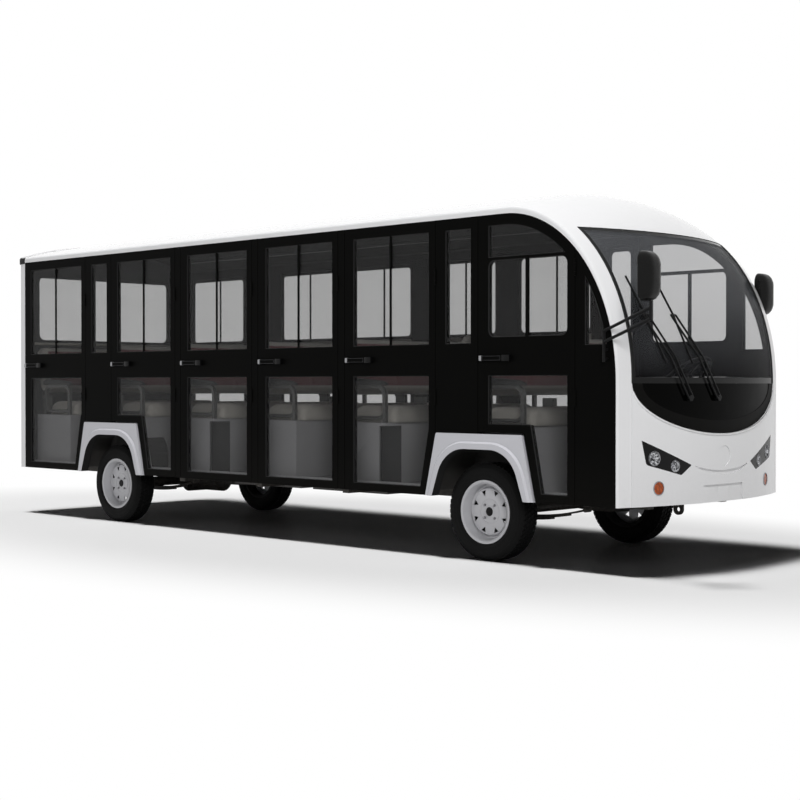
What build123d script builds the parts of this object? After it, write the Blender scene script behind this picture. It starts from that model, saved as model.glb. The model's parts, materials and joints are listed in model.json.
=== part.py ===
from build123d import *
import math
import os

# Enclosed electric sightseeing car, millimetres.
# X runs forward, Y to the vehicle's left, Z up; the origin is on the ground under the middle of its box.
# Stations along the body are measured from the front axle, forward positive.

# Overall sizes
WHEELBASE = 3810.0
HALF_WIDTH = 870.0
SILL_Z = 385.0
WALL = 42.0
DOOR_THICKNESS = 36.0
SEAM = 0.4
DOOR_GAP = 4.0

# Front and roof envelope: a vertical face that turns into the roof on one large quarter ellipse
ARC_STATION = 210.0
ARC_Z = 1099.0
SIDE_REACH = 805.0
SIDE_RISE = 1001.0
HOOP_EDGE = 12.0
ROOF_EDGE = 38.0
ROOF_CROWN = 137.0
NOSE_CROWN = 155.0
SHELL = 30.0
EDGE_ROUND = 18.0
HOOP_WIDTH = 95.0
ROOF_BROW = 143.0
SHIELD_BOTTOM_Z = 1085.0
SHIELD_INSET = 3.0
SHIELD_GLASS = 8.0
APRON_DROP = 298.0
APRON_INSET = 2.0
APRON_BAND = 80.0
APRON_PANEL_DEPTH = 3.0

# Front lamps: distance in from the hoop seam, height and, where round, radius
LAMP_OUTLINE = ((65.0, 762.0), (98.0, 622.0), (365.0, 556.0), (452.0, 612.0))
BIG_LAMP = (156.0, 658.0, 44.0)
SMALL_LAMP = (314.0, 610.0, 36.0)
TURN_LAMP = (188.0, 487.0, 39.0)
LAMP_POCKET = 22.0
LAMP_CORNER = 26.0
LENS_DEPTH = 14.0

# Badge recess, smile crease and plate recess on the nose
BADGE_Z = 657.0
BADGE_RADIUS = 60.0
BADGE_DEPTH = 4.0
CREASE_TIP_GAP = 24.0
CREASE_TIP_Z = 606.0
CREASE_TOP_Z = 572.0
CREASE_BOTTOM_Z = 544.0
CREASE_DEPTH = 8.0
PLATE_TOP_Z = 489.0
PLATE_TOP_HALF = 213.0
PLATE_BOTTOM_HALF = 268.0
PLATE_DEPTH = 8.0

# Side bays from front to rear: kind and length along the body
DOOR_1_FRONT_STATION = 732.0
FRONT_DOOR = 738.0
REAR_DOOR = 877.0
FIXED_PANEL = 348.0
POST = 62.0
PASSENGER_DOORS = 4
DOORS_SHORT_OF_WHEELBASE = 364.0
ROW_PITCH = (WHEELBASE - DOORS_SHORT_OF_WHEELBASE + POST) / PASSENGER_DOORS
PASSENGER_DOOR = ROW_PITCH - POST
BAYS = (
    ("door", FRONT_DOOR),
    ("panel", FIXED_PANEL),
    *(("door", PASSENGER_DOOR), ("post", POST)) * (PASSENGER_DOORS - 1),
    ("door", PASSENGER_DOOR),
    ("panel", FIXED_PANEL),
    ("door", REAR_DOOR),
)

# Rear
REAR_CORNER_GAP = 2.0
REAR_DEPTH = 63.0
REAR_PANEL = 32.0
REAR_BULGE = 20.0
REAR_WINDOW_SIDE = 135.0
REAR_WINDOW_BOTTOM_Z = 1430.0
REAR_WINDOW_HEADER = 100.0
REAR_WINDOW_ROUND = 70.0
REAR_WINDOW_INSET = 6.0
TAIL_SIDE = 125.0
TAIL_HALF_WIDTH = 50.0
TAIL_BOTTOM_Z = 700.0
TAIL_TOP_Z = 960.0
TAIL_ROUND = 40.0
TAIL_DEPTH = 18.0

# Windows
BELT_Z = 1328.0
UPPER_WINDOW_HEADER = 70.0
LOWER_WINDOW_BOTTOM_Z = 435.0
LOWER_WINDOW_TOP_Z = 1133.0
WINDOW_REAR_MARGIN = 84.0
WINDOW_FRONT_MARGIN = 56.0
FLARE_MARGIN = 50.0
MULLION = 12.0
FRONT_MULLION = 24.0
PANE = 6.0
PANE_RECESS = 10.0
FRONT_DOOR_WINDOW_BOTTOM_Z = 1363.0
FRONT_DOOR_WINDOW_TOP_Z = 1826.0
FRONT_DOOR_WINDOW_BAR = 16.0
FRONT_DOOR_WINDOW_ROUND = 45.0
ARC_LIGHT_MARGIN = 65.0
QUARTER_LIGHT_REAR_MARGIN = 68.0
QUARTER_LIGHT_MARGIN = 45.0
QUARTER_LIGHT_Z = 1305.0

# Door hinges and handles
HINGE_HEIGHTS = (1000.0, 1750.0)
HINGE_RADIUS = 8.0
HINGE_PIN = 4.0
HINGE_PLAY = 0.3
HINGE_NOTCH = 1.5
HINGE_BARREL = 50.0
HINGE_KNUCKLE = 24.0
HANDLE_Z = 1237.0
HANDLE_LENGTH = 240.0
HANDLE_HEIGHT = 30.0
HANDLE_STAND_OFF = 26.0
HANDLE_BAR = 14.0
HANDLE_ROUND = 4.5
HANDLE_FOOT = 26.0
HANDLE_REAR_MARGIN = 24.0

# Wheels
TYRE_RADIUS = 300.0
TYRE_WIDTH = 175.0
TYRE_SIDE_INSET = 50.0
TYRE_SIDEWALL = 50.0
TYRE_SHOULDER = 30.0
BEAD_RADIUS = 178.0
BEAD_HALF_WIDTH = 68.0
FLANGE_HEIGHT = 17.0
FLANGE_SLOPE = 5.0
FLANGE_LIP = 5.0
RIM_SHEET = 7.0
DISC_SHEET = 9.0
DISC_EDGE_OFFSET = 12.0
DISC_VALLEY_RADIUS = 154.0
DISC_CROWN_RADIUS = 144.0
DISC_CROWN_OFFSET = 30.0
HUB_RADIUS = 36.0
HUB_OUTER = 34.0
HUB_INNER = 24.0
SPINDLE_RADIUS = 20.0
SPINDLE_TIP = 30.0
FIT_PLAY = 0.3
VENT_COUNT = 8
VENT_INNER_RADIUS = 99.0
VENT_OUTER_RADIUS = 134.0
VENT_HALF_WIDTH = 19.0

# Wheel arches: white flares with a raised band, and the housings behind them
ARCH_RISE = 85.0
ARCH_BOTTOM_HALF = 365.0
ARCH_TOP_HALF = 262.0
ARCH_ROUND = 225.0
FLARE_TOP = 94.0
FLARE_TOP_HALF = 343.0
FLARE_BOTTOM_HALF = 433.0
FLARE_PROUD = 10.0
FLARE_ROUND = 14.0
FLARE_GAP = 10.0
BAND_WIDTH = 46.0
BAND_PROUD = 24.0
BAND_CHAMFER = 11.0
HOUSING_HALF = 373.0
HOUSING_RISE = 88.0
HOUSING_ROUND = 150.0
HOUSING_SHEET = 12.0
FRONT_HOUSING_REACH = 254.5
REAR_HOUSING_REACH = 132.5

# Chassis and floor: heights above the axle line
RAIL_Y = 400.0
RAIL_WIDTH = 60.0
RAIL_HEIGHT = 72.0
RAIL_LIFT = 45.0
RAIL_FRONT_STATION = 930.0
RAIL_REAR_GAP = 37.0
DECK_THICKNESS = 18.0
FRONT_CROSS_STATIONS = (860.0, 430.0, -620.0)
CROSS_AHEAD_OF_REAR_AXLE = 570.0
CROSS_BEHIND_REAR_AXLE = 490.0
REAR_CROSS_GAP = 127.0
CROSS_WIDTH = 60.0
CROSS_RISE = 12.0
BATTERY_GAP = 32.0
BATTERY_HEIGHT = 92.0
BATTERY_DECK_GAP = 5.0
TOW_PLATE = 16.0
TOW_BORE = 14.0
TOW_RADIUS = 34.0
TOW_DROP = 39.0

# Axles, springs and steering gear
BEAM_RADIUS = 33.0
KINGPIN_OFFSET = 132.5
KINGPIN_RADIUS = 11.0
KNUCKLE_BOSS = 26.0
KNUCKLE_BOSS_HALF = 43.0
BOSS_CLEARANCE = 10.0
KNUCKLE_NEAR = 32.0
KNUCKLE_FAR = 60.0
KNUCKLE_BODY_HALF = 35.0
EAR_HALF = 22.0
EAR_THICKNESS = 20.0
EAR_GAP = 2.0
STEER_ARM = 150.0
STEER_ARM_WIDTH = 30.0
STEER_ARM_THICKNESS = 16.0
TIE_ROD_LIFT = 22.0
TIE_ROD_RADIUS = 10.0
TIE_PIN_RADIUS = 8.0
TIE_EYE_RADIUS = 18.0
TIE_EYE_HEIGHT = 24.0
TIE_PIN_TAIL = 18.0
REAR_TUBE_RADIUS = 38.0
REAR_TUBE_SETBACK = 70.0
DIFF_RADIUS = 95.0
DIFF_HALF_WIDTH = 100.0
MOTOR_RADIUS = 85.0
MOTOR_LENGTH = 330.0
SPRING_DROP = 38.0
SPRING_SAG = 60.0
SPRING_WIDTH = 50.0
SPRING_SEAT_HALF = 30.0
LEAF = 10.0
LEAF_HALF_LENGTHS = (470.0, 330.0, 200.0)
SPRING_EYE = 16.0

# Seats: rows 2 to 5 follow the doors; open rows have a locker at each front corner of the base
ROW_1_STATION = 345.0
ROW_2_STATION = -815.0
LAST_ROW_GAP = 587.0
OPEN_ROWS = (2, 4)
SEAT_WALL_GAP = 38.0
CUSHION_SIDE_GAP = 28.0
CUSHION_DEPTH = 430.0
CUSHION_THICKNESS = 107.0
CUSHION_ROUND = 25.0
BASE_TOP_Z = 828.0
BASE_SETBACK = 40.0
BASE_SHEET = 20.0
FIRST_BASE_FOOT = 95.0
LOCKER_WIDTH = 136.0
LOCKER_DEPTH = 320.0
LOCKER_NOTCH = 70.0
BACK_THICKNESS = 95.0
BACK_BOTTOM_Z = 990.0
BACK_TOP_Z = 1400.0
BACK_LEAN = 10.0
BACK_ROUND = 28.0
BRACKET_WIDTH = 40.0
BRACKET_GAP = 6.0
ARM_TUBE = 26.0
ARM_RISE = 251.0
ARM_FRONT = 57.0
ARM_REAR = 7.0
ARM_ROUND = 75.0

# Driver's place
DASH_SIDE_GAP = 170.0
DASH_REAR_STATION = 800.0
DASH_TOP_Z = 1060.0
DASH_BOTTOM_Z = 760.0
DASH_BEVEL_DEPTH = 90.0
DASH_BEVEL_DROP = 70.0
STEER_WHEEL_Y = 400.0
STEER_WHEEL_STATION = 640.0
STEER_WHEEL_Z = 1120.0
STEER_TILT = 50.0
STEER_WHEEL_RADIUS = 190.0
STEER_RIM = 14.0
STEER_HUB_RADIUS = 46.0
STEER_HUB_HEIGHT = 35.0
STEER_HUB_DROP = 12.0
SPOKE_ANGLES = (-90.0, 30.0, 150.0)
SPOKE_WIDTH = 26.0
SPOKE_THICKNESS = 10.0
COLUMN_RADIUS = 24.0
COLUMN_LENGTH = 300.0

# Mirrors
MIRROR_WIDTH = 150.0
MIRROR_DEPTH = 80.0
MIRROR_HEIGHT = 275.0
MIRROR_ROUND = 32.0
MIRROR_STAND_OFF = 90.0
MIRROR_Z = 1668.0
MIRROR_TUBE = 9.0
RIGHT_MIRROR_STATION = 1309.0
LEFT_MIRROR_STATION = 893.0
LEFT_STALK_Z = 1270.0
ARM_PIN_STATION = 955.0
ARM_PIN_STAND_OFF = 30.0
ARM_PIN_BOTTOM_Z = 1205.0
ARM_PIN_TOP_Z = 1317.0
ARM_LOOP_HEIGHT = 62.0
ARM_CLIP_HEIGHT = 16.0
ARM_CLIP_HEIGHTS = (1222.0, 1274.0)
ARM_STUB = 34.0

# Wipers: where each arm pair pivots, where it carries its blade, and the blade's top, all across the glass
WIPERS = (
    (-60.0, -420.0, -480.0),
    (-330.0, -640.0, -690.0),
)
WIPER_ROD = 6.0
WIPER_ARM_HALF_PITCH = 20.0
WIPER_OFF_GLASS = 16.0
WIPER_BOW = 6.0
WIPER_SPINDLE = 26.0
WIPER_SPINDLE_RADIUS = 18.0
WIPER_PIVOT_DROP = 85.0
WIPER_CARRIER_RISE = 395.0
WIPER_BLADE_TOP_RISE = 615.0
WIPER_BLADE_BOTTOM_RISE = 115.0
WIPER_BLADE_SHIFT = 110.0

# Heights and places that follow
REACH = 9000.0
BALL_SWELL = 0.6
EDGE_REACH = SIDE_REACH + HOOP_EDGE
EDGE_RISE = SIDE_RISE + ROOF_EDGE
ROOFLINE_Z = ARC_Z + SIDE_RISE
SHIELD_TOP_Z = ARC_Z + EDGE_RISE - ROOF_BROW
HOOP_SEAM_Y = HALF_WIDTH - HOOP_WIDTH
REAR_CORNER_STATION = DOOR_1_FRONT_STATION - sum(length for kind, length in BAYS) - REAR_CORNER_GAP
ROOF_END_STATION = REAR_CORNER_STATION - REAR_DEPTH
MIRROR_FRONT_STATION = RIGHT_MIRROR_STATION + MIRROR_DEPTH / 2
FRONT_AXLE_X = -(MIRROR_FRONT_STATION + ROOF_END_STATION - REAR_BULGE) / 2
AXLE_STATIONS = (0.0, -WHEELBASE)
AXLE_Z = TYRE_RADIUS
WHEEL_Y = HALF_WIDTH - TYRE_SIDE_INSET - TYRE_WIDTH / 2
KINGPIN_Y = WHEEL_Y - KINGPIN_OFFSET
ARCH_TOP_Z = AXLE_Z + TYRE_RADIUS + ARCH_RISE
FLARE_TOP_Z = ARCH_TOP_Z + FLARE_TOP
HOUSING_TOP_Z = AXLE_Z + TYRE_RADIUS + HOUSING_RISE
HOUSING_Y = {0.0: WHEEL_Y - FRONT_HOUSING_REACH, -WHEELBASE: WHEEL_Y - REAR_HOUSING_REACH}
RAIL_BOTTOM_Z = AXLE_Z + RAIL_LIFT
DECK_BOTTOM_Z = RAIL_BOTTOM_Z + RAIL_HEIGHT
FLOOR_Z = DECK_BOTTOM_Z + DECK_THICKNESS
DECK_HALF = HALF_WIDTH - WALL
RAIL_INNER = RAIL_Y - RAIL_WIDTH / 2
RAIL_OUTER = RAIL_Y + RAIL_WIDTH / 2
CROSS_BOTTOM_Z = RAIL_BOTTOM_Z + CROSS_RISE
TOW_Z = CROSS_BOTTOM_Z - TOW_DROP
SPRING_HALF_LENGTH = LEAF_HALF_LENGTHS[0]
SPRING_SEAT_Z = AXLE_Z - SPRING_DROP
SPRING_EYE_Z = SPRING_SEAT_Z + SPRING_SAG - LEAF / 2
TIE_ROD_Z = AXLE_Z + TIE_ROD_LIFT
SEAT_HALF_WIDTH = DECK_HALF - SEAT_WALL_GAP
CUSHION_HALF_WIDTH = SEAT_HALF_WIDTH - CUSHION_SIDE_GAP
ARM_Y = (SEAT_HALF_WIDTH + CUSHION_HALF_WIDTH) / 2
ROW_STATIONS = (
    ROW_1_STATION,
    *(ROW_2_STATION - row * ROW_PITCH for row in range(PASSENGER_DOORS)),
    REAR_CORNER_STATION + LAST_ROW_GAP,
)
MIRROR_Y = HALF_WIDTH + MIRROR_STAND_OFF


def at(station):
    """X of a station."""
    return FRONT_AXLE_X + station


def block(x0, x1, y0, y1, z0, z1):
    """Box between two corners."""
    return Pos((x0 + x1) / 2, (y0 + y1) / 2, (z0 + z1) / 2) * Box(x1 - x0, y1 - y0, z1 - z0)


def side_prism(sketch, y0, y1):
    """Extrude an outline drawn in X and Z from y0 to y1."""
    plane = Plane((0, y1, 0), x_dir=(1, 0, 0), z_dir=(0, -1, 0))
    return extrude(plane * sketch, amount=y1 - y0)


def front_prism(sketch, x0, x1):
    """Extrude an outline drawn in Y and Z from x0 to x1."""
    plane = Plane((x0, 0, 0), x_dir=(0, 1, 0), z_dir=(1, 0, 0))
    return extrude(plane * sketch, amount=x1 - x0)


def outline(points):
    """Face inside a closed run of straight lines."""
    return make_face(Polyline(*points, close=True))


def rectangle(u0, u1, v0, v1):
    """Rectangle between two corners."""
    return Pos((u0 + u1) / 2, (v0 + v1) / 2) * Rectangle(u1 - u0, v1 - v0)


def rounded(u0, u1, v0, v1, radius):
    """Rectangle with round corners."""
    return Pos((u0 + u1) / 2, (v0 + v1) / 2) * RectangleRounded(u1 - u0, v1 - v0, radius)


def round_top(face, radius):
    """The face with its two upper corners rounded."""
    return fillet(face.vertices().sort_by(Axis.Y)[2:], radius)


def rod(start, end, radius):
    """Round bar between two points."""
    start, end = Vector(*start), Vector(*end)
    axis = end - start
    return Solid.make_cylinder(radius, axis.length, Plane(start, z_dir=axis))


def bent_rod(points, radius):
    """Round bar along straight runs, with ball corners a little fuller than the bar."""
    bar = rod(points[0], points[1], radius)
    for corner, end in zip(points[1:], points[2:]):
        bar = bar + Pos(*corner) * Sphere(radius + BALL_SWELL) + rod(corner, end, radius)
    return bar


def along_y(x, y0, y1, z, radius):
    """Round bar across the vehicle."""
    return rod((x, y0, z), (x, y1, z), radius)


def mirrored(shape):
    """The mirror image on the other side of the vehicle."""
    return mirror(shape, about=Plane.XZ)


def both_sides(shape):
    """The shape and its mirror image."""
    return [shape, mirrored(shape)]


def save(name, shapes):
    """Write one node."""
    listed = shapes if isinstance(shapes, list) else [shapes]
    solids = [solid for shape in listed for solid in shape.solids()]
    export_step(solids[0] if len(solids) == 1 else Compound(children=solids), f"parts/{name}.step")


# Envelope of roof and front
def envelope(half_width, inset, crown, bottom_z, rear_station):
    """Solid inside the roof and front surfaces, drawn in by inset."""
    def section(y, bulge):
        reach, rise = EDGE_REACH + bulge - inset, EDGE_RISE + bulge - inset
        x_rear, x_arc, x_front = at(rear_station), at(ARC_STATION), at(ARC_STATION) + reach
        top_z = ARC_Z + rise
        plane = Plane((x_arc, y, ARC_Z), x_dir=(1, 0, 0), z_dir=(0, -1, 0))
        return Wire([
            Edge.make_line((x_rear, y, bottom_z), (x_front, y, bottom_z)),
            Edge.make_line((x_front, y, bottom_z), (x_front, y, ARC_Z)),
            Edge.make_ellipse(reach, rise, plane, 0, 90),
            Edge.make_line((x_arc, y, top_z), (x_rear, y, top_z)),
            Edge.make_line((x_rear, y, top_z), (x_rear, y, bottom_z)),
        ])
    edge_bulge = crown * (1 - (half_width / HALF_WIDTH) ** 2)
    return Solid.make_loft([
        section(-half_width, edge_bulge),
        section(0, crown),
        section(half_width, edge_bulge),
    ])


def front_x(y, z, inset=0.0):
    """X of the front surface at a height and distance from the middle."""
    grow = ROOF_CROWN * (1 - (y / HALF_WIDTH) ** 2) - inset
    rise = max(z - ARC_Z, 0.0) / (EDGE_RISE + grow)
    return at(ARC_STATION) + (EDGE_REACH + grow) * math.sqrt(1 - rise ** 2)


def side_profile(inset, rear_station, bottom_z=SILL_Z):
    """Outline of the flat side under the roof edge and behind the front hoop, drawn in by inset."""
    reach, rise = SIDE_REACH - inset, SIDE_RISE - inset
    x_arc, x_rear = at(ARC_STATION), at(rear_station)
    lines = Polyline(
        (x_arc, ARC_Z + rise), (x_rear, ARC_Z + rise), (x_rear, bottom_z),
        (x_arc + reach, bottom_z), (x_arc + reach, ARC_Z),
    )
    arc = Edge.make_ellipse(reach, rise, Plane((x_arc, ARC_Z, 0)), 0, 90)
    return make_face([*lines.edges(), arc])


def is_long_corner(edge):
    """Whether an edge of the envelope runs along the side of the roof or front."""
    centre = edge.center()
    at_side = abs(abs(centre.Y) - HALF_WIDTH) < 1
    return at_side and centre.Z > SILL_Z + 1 and centre.X > at(ROOF_END_STATION) + 1


outer = envelope(HALF_WIDTH, 0, ROOF_CROWN, SILL_Z, ROOF_END_STATION)
outer = fillet([edge for edge in outer.edges() if is_long_corner(edge)], EDGE_ROUND)
inner = envelope(HALF_WIDTH - SHELL, SHELL, ROOF_CROWN, 0, ROOF_END_STATION + SHELL)
side_cut = side_prism(side_profile(0, -REACH, 0), -REACH, REACH)
skin = outer - inner - side_cut
inner_space = envelope(HALF_WIDTH, SHELL + SEAM, ROOF_CROWN, 0, -REACH)

# Roof with its brow, front hoops and windshield
front_region = block(at(ARC_STATION), REACH, -REACH, REACH, 0, SHIELD_TOP_Z)
middle_region = block(at(ARC_STATION), REACH, -HOOP_SEAM_Y, HOOP_SEAM_Y, 0, SHIELD_TOP_Z)
roof = skin - front_region
hoops = (skin & front_region) - middle_region

shield_outline = rectangle(-HOOP_SEAM_Y, HOOP_SEAM_Y, SHIELD_BOTTOM_Z, SHIELD_TOP_Z)
shield = envelope(HALF_WIDTH, SHIELD_INSET, ROOF_CROWN, SILL_Z, 0)
shield -= envelope(HALF_WIDTH, SHIELD_INSET + SHIELD_GLASS, ROOF_CROWN, 0, -SHELL)
shield &= front_prism(shield_outline, at(ARC_STATION), REACH)


# Black apron under the windshield, with a sunk panel inside its band
def half_ellipse(half_width, drop):
    """Lower half of an ellipse hanging from the windshield's bottom edge."""
    whole = Pos(0, SHIELD_BOTTOM_Z) * Ellipse(half_width, drop)
    return whole & rectangle(-half_width, half_width, 0, SHIELD_BOTTOM_Z)


apron_outline = half_ellipse(HOOP_SEAM_Y, APRON_DROP)
apron_panel = half_ellipse(HOOP_SEAM_Y - APRON_BAND, APRON_DROP - APRON_BAND)
apron_core = envelope(HALF_WIDTH, APRON_INSET, ROOF_CROWN, SILL_Z, 0)
apron_back = envelope(HALF_WIDTH, SHELL, ROOF_CROWN, 0, -SHELL)
apron_floor = envelope(HALF_WIDTH, APRON_INSET + APRON_PANEL_DEPTH, ROOF_CROWN, 0, -SHELL)
apron = (apron_core - apron_back) & front_prism(apron_outline, at(ARC_STATION), REACH)
apron -= (apron_core - apron_floor) & front_prism(apron_panel, at(ARC_STATION), REACH)

# Nose panel with lamp pockets, smile crease, badge recess and plate recess
nose_core = envelope(HALF_WIDTH, 0, NOSE_CROWN, SILL_Z, 0)
nose_back = envelope(HALF_WIDTH, SHELL, NOSE_CROWN, 0, -SHELL)
nose_outline = rectangle(-HOOP_SEAM_Y, HOOP_SEAM_Y, SILL_Z, SHIELD_BOTTOM_Z) - apron_outline


def nose_layer(sketch, depth):
    """What lies under an outline within a depth of the nose surface."""
    layer = nose_core - envelope(HALF_WIDTH, depth, NOSE_CROWN, 0, -SHELL)
    return layer & front_prism(sketch, at(ARC_STATION), REACH)


def lamp_outline(side):
    """Headlamp housing outline, tapering to the middle of the nose."""
    face = outline([(side * (HOOP_SEAM_Y - inward), z) for inward, z in LAMP_OUTLINE])
    corners = face.vertices().sort_by(Axis.Y)
    return fillet([corners[0], corners[2]], LAMP_CORNER)


def lamp_circle(side, inward, z, radius):
    """Outline of a round lamp."""
    return Pos(side * (HOOP_SEAM_Y - inward), z) * Circle(radius)


crease_tip = HOOP_SEAM_Y - LAMP_OUTLINE[-1][0] - CREASE_TIP_GAP
crease_outline = make_face([
    ThreePointArc((-crease_tip, CREASE_TIP_Z), (0, CREASE_TOP_Z), (crease_tip, CREASE_TIP_Z)).edge(),
    ThreePointArc((crease_tip, CREASE_TIP_Z), (0, CREASE_BOTTOM_Z), (-crease_tip, CREASE_TIP_Z)).edge(),
])
badge_outline = Pos(0, BADGE_Z) * Circle(BADGE_RADIUS)
plate_outline = outline([
    (-PLATE_TOP_HALF, PLATE_TOP_Z), (PLATE_TOP_HALF, PLATE_TOP_Z),
    (PLATE_BOTTOM_HALF, 0), (-PLATE_BOTTOM_HALF, 0),
])
nose = (nose_core - nose_back) & front_prism(nose_outline, at(ARC_STATION), REACH)
nose -= nose_layer(badge_outline, BADGE_DEPTH)
nose -= nose_layer(crease_outline, CREASE_DEPTH)
nose -= nose_layer(plate_outline, PLATE_DEPTH)

lamp_housings, lenses, turn_lamps = [], [], []
for side in (-1, 1):
    housing = nose_layer(lamp_outline(side), LAMP_POCKET)
    turn_lamp = nose_layer(lamp_circle(side, *TURN_LAMP), LAMP_POCKET)
    nose = nose - housing - turn_lamp
    for lamp in (BIG_LAMP, SMALL_LAMP):
        lens = nose_layer(lamp_circle(side, *lamp), LENS_DEPTH)
        housing -= lens
        lenses.append(lens)
    lamp_housings.append(housing)
    turn_lamps.append(turn_lamp)


# Side bays
def flare_outline(axle_station, grow=0.0):
    """Outer outline of a wheel-arch flare."""
    x = at(axle_station)
    return round_top(outline([
        (x - FLARE_BOTTOM_HALF - grow, SILL_Z), (x + FLARE_BOTTOM_HALF + grow, SILL_Z),
        (x + FLARE_TOP_HALF + grow, FLARE_TOP_Z + grow), (x - FLARE_TOP_HALF - grow, FLARE_TOP_Z + grow),
    ]), FLARE_ROUND)


def arch_outline(axle_station, grow=0.0):
    """Wheel opening in a flare."""
    x = at(axle_station)
    return round_top(outline([
        (x - ARCH_BOTTOM_HALF - grow, SILL_Z), (x + ARCH_BOTTOM_HALF + grow, SILL_Z),
        (x + ARCH_TOP_HALF + grow, ARCH_TOP_Z + grow), (x - ARCH_TOP_HALF - grow, ARCH_TOP_Z + grow),
    ]), ARCH_ROUND + grow)


def less_flares(sketch, grow):
    """An outline cut back from both flares."""
    for axle_station in AXLE_STATIONS:
        sketch -= flare_outline(axle_station, grow)
    return sketch


def mullion(x0, x1, z0, z1, width):
    """Thin upright in front of the middle of a pane."""
    middle = (x0 + x1) / 2
    return block(middle - width / 2, middle + width / 2, -HALF_WIDTH, -HALF_WIDTH + PANE_RECESS, z0, z1)


def bay_windows(kind, rear_x, front_edge_x, first):
    """Window openings of one bay, and the upright in front of its upper pane."""
    x0, x1 = rear_x + WINDOW_REAR_MARGIN, front_edge_x - WINDOW_FRONT_MARGIN
    upper_top_z = ROOFLINE_Z - UPPER_WINDOW_HEADER
    if kind == "panel":
        return rectangle(x0, x1, BELT_Z, upper_top_z), None
    lower = rectangle(x0, x1, LOWER_WINDOW_BOTTOM_Z, LOWER_WINDOW_TOP_Z)
    lower = less_flares(lower, FLARE_GAP + FLARE_MARGIN)
    if not first:
        return rectangle(x0, x1, BELT_Z, upper_top_z) + lower, mullion(x0, x1, BELT_Z, upper_top_z, MULLION)
    light = rectangle(x0, x1, FRONT_DOOR_WINDOW_TOP_Z + FRONT_DOOR_WINDOW_BAR, REACH)
    light &= side_profile(ARC_LIGHT_MARGIN, -REACH)
    z0, z1 = FRONT_DOOR_WINDOW_BOTTOM_Z, FRONT_DOOR_WINDOW_TOP_Z
    slider = rounded(x0, x1, z0, z1, FRONT_DOOR_WINDOW_ROUND)
    return slider + light + lower, mullion(x0, x1, z0, z1, FRONT_MULLION)


def bay_outline(rear_x, front_edge_x, gap, flare_gap):
    """Outer outline of one bay, clear of the roof edge, the front hoop and the flares."""
    sketch = rectangle(rear_x + gap, front_edge_x - gap, SILL_Z, REACH)
    return less_flares(sketch & side_profile(gap, -REACH), flare_gap)


def hinge_cylinder(hinge_x, radius, z0, z1):
    """Part of a hinge on the right-hand skin."""
    return Pos(hinge_x, -HALF_WIDTH, (z0 + z1) / 2) * Cylinder(radius, z1 - z0)


def hinge_spans(height):
    """Height ranges of a hinge's barrel, lower knuckle and upper knuckle."""
    half = HINGE_BARREL / 2
    return (
        (height - half, height + half),
        (height - half - HINGE_KNUCKLE, height - half - HINGE_PLAY),
        (height + half + HINGE_PLAY, height + half + HINGE_KNUCKLE),
    )


def add_door_barrels(door, hinge_x):
    """Bored hinge barrels on a door's front edge."""
    for height in HINGE_HEIGHTS:
        barrel, lower, upper = hinge_spans(height)
        door -= hinge_cylinder(hinge_x, HINGE_RADIUS + HINGE_NOTCH, lower[0] - HINGE_NOTCH, barrel[0])
        door -= hinge_cylinder(hinge_x, HINGE_RADIUS + HINGE_NOTCH, barrel[1], upper[1] + HINGE_NOTCH)
        door += hinge_cylinder(hinge_x, HINGE_RADIUS, *barrel)
        door -= hinge_cylinder(hinge_x, HINGE_PIN + HINGE_PLAY, *barrel)
    return door


def add_hinge_pins(panel, hinge_x):
    """Hinge knuckles and pins on what carries a door."""
    for height in HINGE_HEIGHTS:
        barrel, lower, upper = hinge_spans(height)
        panel -= hinge_cylinder(hinge_x, HINGE_RADIUS + HINGE_NOTCH, *barrel)
        panel += hinge_cylinder(hinge_x, HINGE_RADIUS, *lower)
        panel += hinge_cylinder(hinge_x, HINGE_RADIUS, *upper)
        panel += hinge_cylinder(hinge_x, HINGE_PIN, lower[0], upper[1])
    return panel


def handle(rear_x):
    """Pull handle standing off a door near its rear edge."""
    x0 = rear_x + DOOR_GAP + HANDLE_REAR_MARGIN
    x1 = x0 + HANDLE_LENGTH
    y_out = -HALF_WIDTH - HANDLE_STAND_OFF
    z0, z1 = HANDLE_Z - HANDLE_HEIGHT / 2, HANDLE_Z + HANDLE_HEIGHT / 2
    grip = block(x0, x1, y_out, y_out + HANDLE_BAR, z0, z1)
    grip = fillet(grip.edges().filter_by(Axis.X), HANDLE_ROUND)
    for foot in (x0, x1 - HANDLE_FOOT):
        grip += block(foot, foot + HANDLE_FOOT, y_out + HANDLE_BAR / 2, -HALF_WIDTH, z0, z1)
    return grip


def panes(windows):
    """Glass filling each opening of a bay."""
    y0 = -HALF_WIDTH + PANE_RECESS
    return [side_prism(face, y0, y0 + PANE) for face in windows.faces()]


def wall(sketch):
    """Fixed side panel of the right-hand wall."""
    return side_prism(sketch, -HALF_WIDTH, -HALF_WIDTH + WALL)


doors, door_panes = [], []
right_panels, left_panels, side_panes, post_stations = [], [], [], []

quarter_windows = rectangle(
    at(DOOR_1_FRONT_STATION + QUARTER_LIGHT_REAR_MARGIN), REACH, QUARTER_LIGHT_Z, REACH
) & side_profile(QUARTER_LIGHT_MARGIN, 0)
quarter_sketch = rectangle(at(DOOR_1_FRONT_STATION), REACH, SILL_Z, REACH) & side_profile(SEAM, 0)
previous = wall(quarter_sketch - quarter_windows)
side_panes.extend(both_sides(panes(quarter_windows)[0]))

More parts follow.
